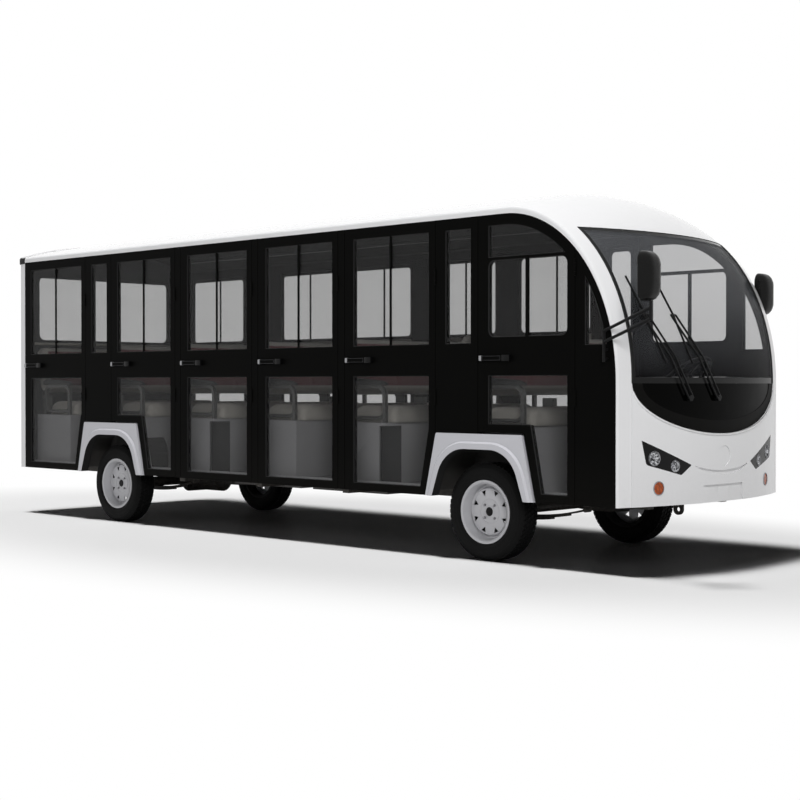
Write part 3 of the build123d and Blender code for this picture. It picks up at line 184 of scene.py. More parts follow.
def shade(colour, share):
    """A darker or lighter version of a colour, as four numbers."""
    return (*(min(channel * share, 1.0) for channel in colour), 1.0)


def varied(tree, factor, colour, spread):
    """A colour that wanders up and down by a share."""
    return blend_colours(tree, factor, shade(colour, 1 - spread), shade(colour, 1 + spread))


def noise(tree, place, scale, detail=3.0, stretch=EVEN):
    """Noise on object coordinates, stretched along an axis where asked."""
    mapped = put(tree, "ShaderNodeMapping", {"Vector": place, "Scale": stretch}).outputs[0]
    cloud = put(tree, "ShaderNodeTexNoise", {"Vector": mapped, "Scale": scale, "Detail": detail})
    return cloud.outputs["Fac"]


def cell_pattern(tree, place, scale):
    """Small cells on object coordinates."""
    return put(tree, "ShaderNodeTexVoronoi", {"Vector": place, "Scale": scale})


def bump(tree, shader, height, strength, distance):
    """Raise the surface by a height pattern."""
    node = put(tree, "ShaderNodeBump", {"Height": height, "Strength": strength, "Distance": distance})
    feed(tree, shader, Normal=node.outputs[0])


def mottled(tree, shader, place, colour, scale, spread, rough, stretch=EVEN):
    """Colour and roughness that wander a little over the surface."""
    cloud = noise(tree, place, scale, 4.0, stretch)
    feed(tree, shader, Base_Color=varied(tree, cloud, colour, spread), Roughness=between(tree, cloud, *rough))


print("helpers ready")

# %% [markdown]
# ## Paint and black panels
# The white roof, nose and flares are gloss-painted mouldings: almost flat in colour, with a faint orange-peel
# ripple that breaks up reflections. Road dust gathers near the sill, so a height ramp darkens the lowest
# edge. The black doors and posts are coated sheet with a much weaker reflection.

# %% White paint and black panels
DUST = (0.21, 0.19, 0.165, 1.0)
DUST_HEIGHTS = (0.35, 0.75)
PEEL_SCALE = 260.0
PEEL_HEIGHT = 0.0006


def painted(name, colour, rough, spread, dust, peel, **constants):
    """Sprayed paint with orange peel and a veil of dust low down."""
    material, tree, shader, place = new_finish(name, **constants)
    cloud = noise(tree, place, 3.0, 5.0)
    height = put(tree, "ShaderNodeSeparateXYZ", {0: place}).outputs["Z"]
    low = put(tree, "ShaderNodeMapRange", {"Value": height, "From Min": DUST_HEIGHTS[0],
                                           "From Max": DUST_HEIGHTS[1], "To Min": dust, "To Max": 0.0})
    veil = combine(tree, low.outputs[0], noise(tree, place, 55.0, 6.0), "MULTIPLY")
    feed(tree, shader, Base_Color=blend_colours(tree, veil, varied(tree, cloud, colour, spread), DUST),
         Roughness=between(tree, cloud, *rough))
    bump(tree, shader, noise(tree, place, PEEL_SCALE, 2.0), peel, PEEL_HEIGHT)
    return material


white_paint = painted("white_paint", (0.80, 0.80, 0.81), (0.16, 0.24), 0.012, 0.10, 0.06, Coat_Weight=0.4)
# Painted shade: the flares are the same white as the roof, painted greyer for the shade they lie in.
flare_white_painted_shade = painted("flare_white_painted_shade_finish", (0.53, 0.53, 0.565), (0.20, 0.28), 0.012, 0.12, 0.06,
                      Coat_Weight=0.3)
black_panel = painted("black_panel", (0.0027, 0.0027, 0.0025), (0.34, 0.44), 0.15, 0.02, 0.03,
                      Specular_IOR_Level=0.016)
chassis_paint = painted("chassis_paint", (0.010, 0.010, 0.010), (0.45, 0.70), 0.30, 0.45, 0.25,
                        Specular_IOR_Level=0.25)
wheel_paint = painted("wheel_silver", (0.47, 0.47, 0.49), (0.30, 0.40), 0.03, 0.05, 0.10, Metallic=0.15)
base_paint = painted("seat_base_grey", (0.36, 0.36, 0.37), (0.38, 0.52), 0.04, 0.10, 0.12)
tube_paint = painted("arm_tube_grey", (0.075, 0.075, 0.073), (0.28, 0.38), 0.05, 0.0, 0.08)
# Painted shade: a dark grey for the seat bases' undersides and inner ends, where shade falls under the
# benches.
seat_recess_painted_shade = painted("seat_recess_painted_shade_finish", (0.050, 0.050, 0.052), (0.45, 0.60), 0.08, 0.10, 0.12)
trim_paint = painted("cabin_trim_beige", (0.30, 0.285, 0.245), (0.45, 0.60), 0.05, 0.0, 0.15)
battery_paint = painted("battery_case_paint", (0.030, 0.031, 0.034), (0.40, 0.60), 0.20, 0.50, 0.20)
print("paints", len(bpy.data.materials))

# %% [markdown]
# ## Moulded plastic and rubber
# Mirrors, wipers, dashboard and steering wheel are grained plastic: a cell pattern gives the leather-like
# grain. Tyres and window rubbers are matt.

# %% Plastics and rubbers
GRAIN_HEIGHT = 0.0006


def grained(name, colour, rough, spread, grain, depth, **constants):
    """Moulded surface with a fine cell grain."""
    material, tree, shader, place = new_finish(name, **constants)
    mottled(tree, shader, place, colour, 9.0, spread, rough)
    bump(tree, shader, cell_pattern(tree, place, grain).outputs["Distance"], depth, GRAIN_HEIGHT)
    return material


black_plastic = grained("black_plastic", (0.0055, 0.0055, 0.0057), (0.36, 0.50), 0.15, 900.0, 0.25,
                        Specular_IOR_Level=0.12)
dark_sheet = grained("wheel_housing_sheet", (0.020, 0.019, 0.018), (0.60, 0.80), 0.30, 240.0, 0.35)
window_rubber = grained("window_rubber", (0.011, 0.011, 0.011), (0.55, 0.70), 0.20, 700.0, 0.20,
                        Specular_IOR_Level=0.25)
tyre_rubber = grained("tyre_rubber", (0.0048, 0.0048, 0.0048), (0.62, 0.82), 0.35, 420.0, 0.30,
                      Specular_IOR_Level=0.10)
# Dark finish for faces that look inwards; on the rims behind their discs it is painted shade.
dark_inward_and_painted_shade = grained("dark_inward_painted_shade", (0.012, 0.012, 0.012), (0.60, 0.80), 0.20, 500.0, 0.30,
                       Specular_IOR_Level=0.20)
arm_pad = grained("arm_pad", (0.022, 0.022, 0.023), (0.48, 0.60), 0.15, 600.0, 0.25)
mirror_shell = grained("mirror_shell", (0.0035, 0.0034, 0.0032), (0.22, 0.32), 0.15, 900.0, 0.12,
                       Specular_IOR_Level=0.14)
print("plastics and rubbers ready")

# %% [markdown]
# ## Floor covering
# The deck carries a dark ribbed covering. The ribs run across the car and are too fine to model one by one,
# so a wave pattern raises them, and the noise under it makes the trodden patches.

# %% Floor covering
RIB_SCALE = 40.0
floor_cover, tree, shader, place = new_finish("floor_cover", Specular_IOR_Level=0.3)
mottled(tree, shader, place, (0.16, 0.16, 0.165), 5.0, 0.22, (0.55, 0.75))
ribs = put(tree, "ShaderNodeTexWave", {"Vector": place, "Scale": RIB_SCALE, "Distortion": 0.0},
           bands_direction="X")
bump(tree, shader, ribs.outputs["Fac"], 0.5, 0.002)
print("floor covering ready")

# %% [markdown]
# ## Glass
# Safety glass in a car is a thin tinted film to the eye: you see through it, a little darker. An alpha below
# one with a dark base gives that without slow refraction, and shadows stay light enough for the cabin. The
# windscreen also has the printed black border that hides its glue, drawn here from height and width. Its tint
# is also painted darker towards the foot: painted shade and reflection for the dark dashboard and the street.

# %% Smoked side glass
def film_glass(name, tint, see, smear, gloss=0.45):
    """Thin glass: see is how solid the tint looks, smear how far wiping marks vary it."""
    material, tree, shader, place = new_finish(name, Specular_IOR_Level=gloss)
    marks = noise(tree, place, 2.2, 5.0, (1.0, 1.0, 3.0))
    feed(tree, shader, Base_Color=varied(tree, marks, tint, 0.2), Roughness=between(tree, marks, 0.02, 0.07),
         Alpha=between(tree, marks, see - smear, see + smear))
    return material, tree, shader, place


side_tint = film_glass("smoked_glass", (0.016, 0.016, 0.016), 0.25, 0.012)[0]
print("side glass ready")

# %% Windscreen with its printed border
SCREEN_TINT = (0.27, 0.28, 0.30)
SCREEN_PAINTED_DARK = (0.030, 0.030, 0.033, 1.0)
SCREEN_PAINTED_DARK_TO = (0.04, 0.50)
BORDER_INK = (0.012, 0.012, 0.012, 1.0)
BORDER_WIDTH = 0.030
TOP_BAND = 0.022
BOTTOM_BAND = 0.036

screen_glass, tree, shader, place = film_glass("windscreen_glass", SCREEN_TINT, 0.15, 0.012, 0.08)
split = put(tree, "ShaderNodeSeparateXYZ", {0: place})
across = put(tree, "ShaderNodeMath", {0: split.outputs["Y"]}, operation="ABSOLUTE").outputs[0]
height = split.outputs["Z"]
side_border = step(tree, across, seam_y - BORDER_WIDTH)
top_border = step(tree, height, glass_high.z - TOP_BAND)
bottom_border = combine(tree, 1.0, step(tree, height, glass_low.z + BOTTOM_BAND), "SUBTRACT")
border = combine(tree, combine(tree, side_border, top_border, "MAXIMUM"), bottom_border, "MAXIMUM")
film = shader.inputs["Alpha"].links[0].from_socket
film_colour = shader.inputs["Base Color"].links[0].from_socket
# Painted shade: the tint is painted darker towards the screen's foot, for the dark dashboard and street seen
# there.
rise = put(tree, "ShaderNodeMapRange", {"Value": height, "From Min": glass_low.z + SCREEN_PAINTED_DARK_TO[0],
                                        "From Max": glass_low.z + SCREEN_PAINTED_DARK_TO[1]}).outputs[0]
tint = blend_colours(tree, rise, SCREEN_PAINTED_DARK, film_colour)
feed(tree, shader, Alpha=combine(tree, film, border, "MAXIMUM"),
     Base_Color=blend_colours(tree, border, tint, BORDER_INK))
print("windscreen border", BORDER_WIDTH, TOP_BAND, BOTTOM_BAND)

# %% [markdown]
# ## Apron under the windscreen
# The black half-moon under the glass has two finishes: a satin dark-grey band, and a gloss-black panel sunk
# inside it. The panel is a smaller half-ellipse, so one squared-distance sum tells the two apart.

# %% Apron finish
APRON_BAND = 0.080
SATIN = ((0.0050, 0.0049, 0.0046, 1.0), (0.0066, 0.0064, 0.0061, 1.0))
GLOSS = ((0.0007, 0.0007, 0.0006, 1.0), (0.0011, 0.0011, 0.0010, 1.0))
apron_finish, tree, shader, place = new_finish("apron_black", Specular_IOR_Level=0.02)
split = put(tree, "ShaderNodeSeparateXYZ", {0: place})
below = combine(tree, split.outputs["Z"], glass_low.z, "SUBTRACT")
u = combine(tree, split.outputs["Y"], seam_y - APRON_BAND, "DIVIDE")
v = combine(tree, below, apron_drop - APRON_BAND, "DIVIDE")
reach = combine(tree, combine(tree, u, 2.0, "POWER"), combine(tree, v, 2.0, "POWER"), "ADD")
band = step(tree, reach, 1.0, 0.01)
cloud = noise(tree, place, 6.0, 4.0)
satin, gloss = (blend_colours(tree, cloud, *pair) for pair in (SATIN, GLOSS))
feed(tree, shader, Base_Color=blend_colours(tree, band, gloss, satin),
     Roughness=between(tree, band, 0.10, 0.42))
print("apron finish ready")

# %% [markdown]
# ## Lamps and metal
# Lamp covers are coloured plastic with a pressed pattern of small cells, each painted dark at its middle and
# bright towards its edge: a painted glint for the pressed optics. The headlamp's dish is bright metal in
# facets, so each cell gets its own painted brightness, a painted reflection. The other metals are plain, with
# a little mottling.

# %% Lamp lenses and metals
def pressed_lens(name, colour, cell, see):
    """Moulded lens with a pressed cell pattern."""
    material, tree, shader, place = new_finish(name, Alpha=see, Coat_Weight=0.1, Specular_IOR_Level=0.25)
    depth = cell_pattern(tree, place, cell).outputs["Distance"]
    # Painted glint: the colour is painted dark at each cell's middle and bright towards its edge, for the
    # optics' sparkle.
    feed(tree, shader, Base_Color=blend_colours(tree, depth, shade(colour, 0.35), shade(colour, 1.90)),
         Roughness=between(tree, depth, 0.08, 0.22))
    bump(tree, shader, depth, 0.6, 0.003)
    return material


def plain(name, colour, scale, spread, rough, stretch=EVEN, **constants):
    """A finish with mottling alone."""
    material, tree, shader, place = new_finish(name, **constants)
    mottled(tree, shader, place, colour, scale, spread, rough, stretch)
    return material


amber_lens = pressed_lens("amber_lens", (0.29, 0.048, 0.002), 95.0, 1.0)
red_lens = pressed_lens("red_lens", (0.42, 0.012, 0.010), 80.0, 1.0)
clear_cover = pressed_lens("clear_lamp_cover", (0.30, 0.31, 0.33), 60.0, 0.12)
clear_diffuser = pressed_lens("clear_diffuser", (0.34, 0.34, 0.33), 120.0, 1.0)
dull_metal = plain("dull_metal", (0.30, 0.30, 0.31), 40.0, 0.08, (0.32, 0.46), Metallic=1.0)
dark_steel = plain("dark_steel", (0.060, 0.060, 0.064), 60.0, 0.20, (0.36, 0.52), Metallic=0.6)
lamp_black = plain("lamp_black", (0.0030, 0.0030, 0.0032), 12.0, 0.20, (0.16, 0.28), Specular_IOR_Level=0.12)
mirror_glass = plain("mirror_glass", (0.62, 0.65, 0.67), 4.0, 0.02, (0.02, 0.05), Metallic=1.0)
sill_metal = plain("sill_metal", (0.42, 0.42, 0.43), 20.0, 0.06, (0.36, 0.50), (1.0, 12.0, 1.0), Metallic=0.3)

FACET_SCALE = 115.0
# Painted reflection: each facet of the dish gets its own painted brightness, dark or bright, for what it
# reflects.
FACET_PAINTED_DARK, FACET_PAINTED_BRIGHT = (0.012, 0.012, 0.013, 1.0), (0.86, 0.87, 0.90, 1.0)
reflector, tree, shader, place = new_finish("faceted_reflector", Metallic=1.0)
facets = cell_pattern(tree, place, FACET_SCALE)
painted_glint = put(tree, "ShaderNodeSeparateColor", {"Color": facets.outputs["Color"]}).outputs["Red"]
painted_glint = combine(tree, painted_glint, 1.6, "POWER")
feed(tree, shader, Base_Color=blend_colours(tree, painted_glint, FACET_PAINTED_DARK, FACET_PAINTED_BRIGHT),
     Roughness=between(tree, painted_glint, 0.30, 0.10))
bump(tree, shader, facets.outputs["Distance"], 0.8, 0.004)
print("lamp finishes ready")

# %% [markdown]
# ## Leatherette
# The seats are padded leatherette. Its grain is a cell pattern of about two millimetres, and its sheen
# varies a little in roughness over the surface. The maroon backs have a grey-beige border; a per-point
# attribute called `border`, stored when the pad is made, says where one colour gives way to the other.

# %% Seat coverings
def leatherette(name, colour, border_colour):
    """Grained seat cover; the point attribute named border picks the second colour."""
    material, tree, shader, place = new_finish(name, Sheen_Weight=0.15, Specular_IOR_Level=0.4)
    cloud = noise(tree, place, 7.0, 4.0)
    main, edge = varied(tree, cloud, colour, 0.14), varied(tree, cloud, border_colour, 0.1)
    mask = put(tree, "ShaderNodeAttribute", attribute_name="border").outputs["Fac"]
    feed(tree, shader, Base_Color=blend_colours(tree, mask, main, edge),
         Roughness=between(tree, cloud, 0.40, 0.56))
    bump(tree, shader, cell_pattern(tree, place, 480.0).outputs["Distance"], 0.3, 0.0008)
    return material


SEAT_BEIGE = (0.46, 0.44, 0.40)
SEAT_MAROON = (0.125, 0.016, 0.022)
beige_cover = leatherette("beige_leatherette", SEAT_BEIGE, SEAT_BEIGE)
maroon_cover = leatherette("maroon_leatherette", SEAT_MAROON, SEAT_BEIGE)
print("seat covers ready")

# %% [markdown]
# ## Turning CAD nodes into finished panels
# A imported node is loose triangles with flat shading, fine for boxes but faceted on a curved roof. A merged
# copy, shaded smooth up to an angle, replaces each curved node. Panels with shallow folds get a smaller
# angle, or the folds would blur. Boxy nodes stay, with a better material.

# %% Finished copies of curved nodes
SMOOTH_BELOW = math.radians(32)
CRISP_BELOW = math.radians(9)
CRISP = ("nose_panel", "wheel_arches", "roof_shell", "rear_panel", "lamp_housings")
CAD_WELD = 2e-5


def add_piece(name, mesh, finish, body):
    """Link a mesh at the origin as a piece of one body."""
    piece = bpy.data.objects.new(name, mesh)
    scene.collection.objects.link(piece)
    if finish is not None:
        mesh.materials.clear()
        mesh.materials.append(finish)
    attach(piece, body)
    return piece


def merged_copy(node):
    """The node's mesh with its loose triangles joined and smooth shading below an angle."""
    mesh = nodes[node].data.copy()
    work = bmesh.new()
    work.from_mesh(mesh)
    bmesh.ops.remove_doubles(work, verts=work.verts, dist=CAD_WELD)
    bmesh.ops.dissolve_degenerate(work, edges=work.edges, dist=1e-6)
    work.to_mesh(mesh)
    work.free()
    mesh.shade_smooth()
    mesh.set_sharp_from_angle(angle=CRISP_BELOW if node in CRISP else SMOOTH_BELOW)
    return mesh


def finished(node, finish):
    """A smooth copy that stands for a CAD node."""
    piece = add_piece(f"{node}_skin", merged_copy(node), finish, body_of[node])
    smooth = piece.modifiers.new("even_shading", "WEIGHTED_NORMAL")
    smooth.keep_sharp = True
    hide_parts(node)
    return piece


CURVED = {
    white_paint: ("roof_shell", "front_hoops", "nose_panel", "rear_panel"),
    flare_white_painted_shade: ("wheel_arches",),
    base_paint: ("seat_bases",),
    apron_finish: ("windshield_apron",),
    screen_glass: ("windshield",),
    side_tint: ("rear_window",),
    amber_lens: ("turn_lamps",),
    red_lens: ("tail_lamps",),
    black_plastic: ("mirrors", "wipers", "steering_wheel", "steering_column", "dashboard"),
    lamp_black: ("lamp_housings",),
    chassis_paint: ("front_axle", "rear_axle", "leaf_springs", "tie_rod", "knuckle_right", "knuckle_left"),
    dark_sheet: ("wheel_housings",),
    wheel_paint: tuple(f"rim_{wheel}" for wheel in WHEELS),
    tube_paint: ("seat_frames",),
}
skins = {node: finished(node, finish) for finish, group in CURVED.items() for node in group}
print("smooth copies", len(skins))

# %% [markdown]
# ## Dark inward faces
# Seen from inside, the shell isn't white: the faces of roof, hoops, nose and rear that look into the cabin
# are dark, and so are the flares' faces towards the wheels. The rims are painted dark behind their discs, and
# the seat bases underneath and on their inner ends: that is painted shade. Each skin is a closed wall, so the
# faces that look inwards take a second, dark material. A short rule for each skin says which faces those are.

# %% Dark faces towards the cabin
CABIN_MIDDLE = Vector((-0.3, 0, 1.35))
CABIN_HALF_LENGTH = 2.5
TOWARDS_CABIN = 0.25
TOWARDS = 0.3
FLARE_EDGE = 0.6
BASE_SIDE = 0.785


def faces_cabin(face):
    """Points towards the cabin's long axis."""
    along = max(min(face.center.x, CABIN_MIDDLE.x + CABIN_HALF_LENGTH), CABIN_MIDDLE.x - CABIN_HALF_LENGTH)
    inwards = (Vector((along, 0, CABIN_MIDDLE.z)) - face.center).normalized()
    return face.normal.dot(inwards) > TOWARDS_CABIN


def faces_wheel(face):
    """Points inwards, or towards the axle round the arch opening."""
    axle = front_axle if face.center.x > CABIN_MIDDLE.x else rear_axle
    to_axle = Vector((axle.x - face.center.x, 0, axle.z - face.center.z)).normalized()
    if face.normal.y * side_of(face.center.y) < -TOWARDS:
        return True
    return abs(face.normal.y) < FLARE_EDGE and face.normal.dot(to_axle) > TOWARDS


def behind_disc(face):
    """On the car's side of the wheel disc."""
    return abs(face.center.y) < abs(front_axle.y)


def in_recess(face):
    """Under a seat base, or on its inner ends."""
    return face.normal.z < -0.5 or (abs(face.normal.y) > 0.5 and abs(face.center.y) < BASE_SIDE)


# The faces each rule picks take the second, dark material; on the rims and the seat bases it is painted
# shade.
DARKENED_INWARD = {
    "roof_shell": faces_cabin,
    "front_hoops": faces_cabin,
    "nose_panel": lambda face: face.normal.x < -TOWARDS,
    "rear_panel": lambda face: face.normal.x > TOWARDS,
    "wheel_arches": faces_wheel,
    "seat_bases": in_recess,
    **{f"rim_{wheel}": behind_disc for wheel in WHEELS},
}
for node, is_inside in DARKENED_INWARD.items():
    mesh = skins[node].data
    mesh.materials.append(seat_recess_painted_shade if node == "seat_bases" else dark_inward_and_painted_shade)
    for face in mesh.polygons:
        face.material_index = int(is_inside(face))
    print(node, "lined faces", sum(face.material_index for face in mesh.polygons), "of", len(mesh.polygons))

# %% Better materials on boxy nodes
glass_nodes = ["side_glass", *(f"{door}_glass" for door in doors)]
BOXY = {
    black_panel: ["right_side_panels", "left_side_panels", *doors],
    side_tint: glass_nodes,
    chassis_paint: ["chassis_rails", "cross_members"],
    battery_paint: ["battery_pack"],
    floor_cover: ["floor_deck"],
}
for finish, group in BOXY.items():
    for node in group:
        mesh = nodes[node].data
        mesh.materials.clear()
        mesh.materials.append(finish)
print("boxy nodes", sum(len(group) for group in BOXY.values()))

# %% [markdown]
# ## Geometry Nodes trees
# Two small trees make nearly everything that repeats or follows a path: `ring` sets copies of a piece round a
# circle, and `bead` runs a round section along edges.

# %% Tree helpers
def geometry_tree(name, inputs):
    """An empty tree with named inputs and one geometry output."""
    tree = bpy.data.node_groups.new(name, "GeometryNodeTree")
    tree.interface.new_socket("Geometry", in_out="INPUT", socket_type="NodeSocketGeometry")
    for label, kind in inputs.items():
        tree.interface.new_socket(label, in_out="INPUT", socket_type=f"NodeSocket{kind}")
    tree.interface.new_socket("Geometry", in_out="OUTPUT", socket_type="NodeSocketGeometry")
    return tree, put(tree, "NodeGroupInput")


def close_tree(tree, start, geometry):
    """Realize instances, set the finish and end the tree."""
    real = put(tree, "GeometryNodeRealizeInstances", {"Geometry": geometry}).outputs[0]
    done = put(tree, "GeometryNodeSetMaterial", {"Geometry": real, "Material": start.outputs["Finish"]})
    put(tree, "NodeGroupOutput", {"Geometry": done.outputs[0]})


def grow(tree, mesh=None, **settings):
    """The plain mesh that a tree makes with these inputs."""
    carrier = bpy.data.objects.new("carrier", mesh or bpy.data.meshes.new("carrier"))
    scene.collection.objects.link(carrier)
    modifier = carrier.modifiers.new("grow", "NODES")
    modifier.node_group = tree
    for socket in tree.interface.items_tree:
        if socket.in_out == "INPUT" and socket.name in settings:
            modifier[socket.identifier] = settings[socket.name]
    graph = bpy.context.evaluated_depsgraph_get()
    grown = bpy.data.meshes.new_from_object(carrier.evaluated_get(graph))
    carrier.modifiers.remove(modifier)
    bpy.data.objects.remove(carrier)
    return grown


ring_tree, start = geometry_tree(
    "ring", {"Piece": "Object", "Count": "Int", "Radius": "Float", "Finish": "Material"})
circle = put(ring_tree, "GeometryNodeCurvePrimitiveCircle", {
    "Radius": start.outputs["Radius"], "Resolution": 128})
spots = put(ring_tree, "GeometryNodeCurveToPoints", {
    "Curve": circle.outputs[0], "Count": start.outputs["Count"]})
shape = put(ring_tree, "GeometryNodeObjectInfo", {"Object": start.outputs["Piece"]})
copies = put(ring_tree, "GeometryNodeInstanceOnPoints", {
    "Points": spots.outputs["Points"], "Instance": shape.outputs["Geometry"],
    "Rotation": spots.outputs["Rotation"]})
close_tree(ring_tree, start, copies.outputs[0])

bead_tree, start = geometry_tree("bead", {"Width": "Float", "Sides": "Int", "Finish": "Material"})
path = put(bead_tree, "GeometryNodeMeshToCurve", {"Mesh": start.outputs["Geometry"]})
section = put(bead_tree, "GeometryNodeCurvePrimitiveCircle", {
    "Radius": start.outputs["Width"], "Resolution": start.outputs["Sides"]})
tube = put(bead_tree, "GeometryNodeCurveToMesh", {
    "Curve": path.outputs[0], "Profile Curve": section.outputs[0], "Fill Caps": True})
close_tree(bead_tree, start, tube.outputs[0])
print("trees", [tree.name for tree in bpy.data.node_groups])

# %% [markdown]
# ## Mesh helpers
# The small pieces come from a few shapes: a lathe for what is round, a slab for what is boxy, a bead for what
# follows a path, and closed rings for what swells or tapers.

# %% Mesh helpers
def tidy(mesh, smooth=True):
    """Merge doubles, point faces outwards and shade smooth below the angle."""
    work = bmesh.new()
    work.from_mesh(mesh)
    bmesh.ops.remove_doubles(work, verts=work.verts, dist=1e-6)
    bmesh.ops.recalc_face_normals(work, faces=work.faces)
    work.to_mesh(mesh)
    work.free()
    if smooth:
        mesh.shade_smooth()
        mesh.set_sharp_from_angle(angle=SMOOTH_BELOW)
    return mesh


def new_mesh(name, verts, faces=(), edges=()):
    """A mesh from plain lists."""
    mesh = bpy.data.meshes.new(name)
    mesh.from_pydata([tuple(vert) for vert in verts], list(edges), list(faces))
    return mesh


def lathe(profile, segments, place, smooth=True):
    """Revolve (radius, offset) points about the local Z axis of a placing matrix."""
    count = len(profile)
    verts, faces = [], []
    for index in range(segments):
        angle = 2 * math.pi * index / segments
        ahead = (index + 1) % segments
        for point, (radius, offset) in enumerate(profile):
            verts.append(place @ Vector((radius * math.cos(angle), radius * math.sin(angle), offset)))
            if point + 1 < count:
                near, far = index * count + point, ahead * count + point
                faces.append((near, near + 1, far + 1, far))
    return tidy(new_mesh("lathe", verts, faces), smooth)


def slab(low, high, round_by, steps=2):
    """A box between two corners with rounded edges."""
    work = bmesh.new()
    bmesh.ops.create_cube(work, size=1.0)
    for vert in work.verts:
        vert.co = Vector([a + (b - a) * (share + 0.5) for a, b, share in zip(low, high, vert.co)])
    bmesh.ops.bevel(work, geom=work.edges[:], offset=round_by, segments=steps, profile=0.5, affect="EDGES")
    mesh = bpy.data.meshes.new("slab")
    work.to_mesh(mesh)
    work.free()
    return tidy(mesh)


def closed_rings(verts, count):
    """A closed skin over rings of points in order, each with the same count."""
    faces = []
    for here in range(0, len(verts) - count, count):
        there = here + count
        for i in range(count):
            j = (i + 1) % count
            faces.append((here + i, here + j, there + j, there + i))
    faces += [tuple(range(count)), tuple(range(len(verts) - count, len(verts)))]
    return tidy(new_mesh("rings", verts, faces))


def rounded_plan(x0, x1, y0, y1, radius, steps=6):
    """Outline with round corners."""
    outline = []
    for cx, cy, turn in ((x1 - radius, y1 - radius, 0), (x0 + radius, y1 - radius, 1),
                         (x0 + radius, y0 + radius, 2), (x1 - radius, y0 + radius, 3)):
        for step_index in range(steps + 1):
            angle = math.pi / 2 * (turn + step_index / steps)
            outline.append((cx + radius * math.cos(angle), cy + radius * math.sin(angle)))
    return outline


def chain(points, closed=False):
    """A wire mesh through points in order."""
    count = len(points)
    edges = [(i, (i + 1) % count) for i in range(count if closed else count - 1)]
    return new_mesh("chain", points, (), edges)


def bead(wire, width, sides, finish):
    """A round section run along a wire."""
    return tidy(grow(bead_tree, wire, Width=width, Sides=sides, Finish=finish))


def join(*meshes):
    """One mesh from several, keeping each one's materials."""
    made = [bpy.data.objects.new("part", mesh) for mesh in meshes]
    for item in made:
        scene.collection.objects.link(item)
    with bpy.context.temp_override(active_object=made[0], selected_editable_objects=made):
        bpy.ops.object.join()
    joined = made[0].data
    bpy.data.objects.remove(made[0])
    return joined


def body_piece(name, meshes, finish):
    """Several meshes as one piece of the body."""
    return add_piece(name, join(*meshes), finish, "body")


print("mesh helpers ready")

# %% Reading the CAD nodes
def sided(side, low, high):
    """Corners of a box given for the left side, moved to one side."""
    y0, y1 = sorted((low[1] * side, high[1] * side))
    return (low[0], y0, low[2]), (high[0], y1, high[2])


def islands(node):
    """Boxes of a node's separate solids, front row first."""
    work = bmesh.new()
    work.from_mesh(nodes[node].data)
    bmesh.ops.remove_doubles(work, verts=work.verts, dist=CAD_WELD)
    left, found = set(work.verts), []
    while left:
        stack, group = [left.pop()], []
        while stack:
            vert = stack.pop()
            group.append(vert.co.copy())
            for edge in vert.link_edges:
                other = edge.other_vert(vert)
                if other in left:
                    left.remove(other)
                    stack.append(other)
        low = Vector(min(co[axis] for co in group) for axis in range(3))
        high = Vector(max(co[axis] for co in group) for axis in range(3))
        found.append((low, high))
    work.free()
    return sorted(found, key=lambda box: (-box[1].x, box[0].y, box[0].z))


def surface_of(node):
    """A search tree over a node's faces, for dropping lines onto it."""
    mesh = nodes[node].data
    faces = [face.vertices for face in mesh.polygons]
    return BVHTree.FromPolygons([vert.co for vert in mesh.vertices], faces)


def seat_on(node, y, z):
    """Placing matrix on a node's front surface: local Z points away from it."""
    spot, normal, _, _ = surface_of(node).ray_cast(Vector((9.0, y, z)), Vector((-1, 0, 0)))
    return Matrix.Translation(spot) @ normal.to_track_quat("Z", "Y").to_matrix().to_4x4()


def wheel_place(wheel, side):
    """Placing matrix of a wheel: local Z points out of that side of the car."""
    return Matrix.Translation(middle(f"tyre_{wheel}")) @ Matrix.Rotation(-side * math.pi / 2, 4, "X")


print("separate seats", len(islands("seat_cushions")))

# %% [markdown]
# ## Tyres
# A road tyre is a lathe shape with blocks on its tread. The carcass is revolved from a half profile that is
# mirrored about the middle plane, with the sidewall's raised rings, and the `ring` tree sets four rows of
# blocks into it. The blocks end at the CAD tyre's radius, so the car stands on them.

# %% Tyre carcass and tread blocks
TYRE_SEGMENTS = 96
TREAD_DEPTH = 0.0055
HALF_SECTION = (
    (0.1785, 0.0672), (0.1945, 0.0722), (0.200, 0.0775), (0.206, 0.0812), (0.214, 0.0838), (0.216, 0.0850),
    (0.222, 0.0850), (0.224, 0.0842), (0.240, 0.0862), (0.252, 0.0855), (0.264, 0.0820), (0.266, 0.0826),
    (0.272, 0.0800), (0.273, 0.0784), (0.281, 0.0740), (0.2885, 0.0672), (0.2940, 0.0600),
)
TREAD_ROWS = ((-0.0490, 0.0), (-0.0165, 0.5), (0.0165, 0.0), (0.0490, 0.5))
BLOCK_COUNT = 58
BLOCK_WIDTH = 0.027
BLOCK_SHARE = 0.84
BLOCK_LEAN = 0.18
BLOCK_TOP = 0.88
BLOCK_SINK = 0.0002


def tread_block(length, width, depth):
    """A slanted block: local X points out of the tread, Y across it and Z along it."""
    lean = length * BLOCK_LEAN
    verts = []
    for shrink, out in ((1.0, -depth), (BLOCK_TOP, 0.0)):
        half_l, half_w = length / 2 * shrink, width / 2 * shrink
        verts += [(out, -half_w, -half_l - lean), (out, half_w, -half_l + lean),
                  (out, half_w, half_l + lean), (out, -half_w, half_l - lean)]
    faces = [(4, 5, 6, 7), (0, 1, 5, 4), (1, 2, 6, 5), (2, 3, 7, 6), (3, 0, 4, 7), (3, 2, 1, 0)]
    return bpy.data.objects.new("tread_block", tidy(new_mesh("tread_block", verts, faces), False))


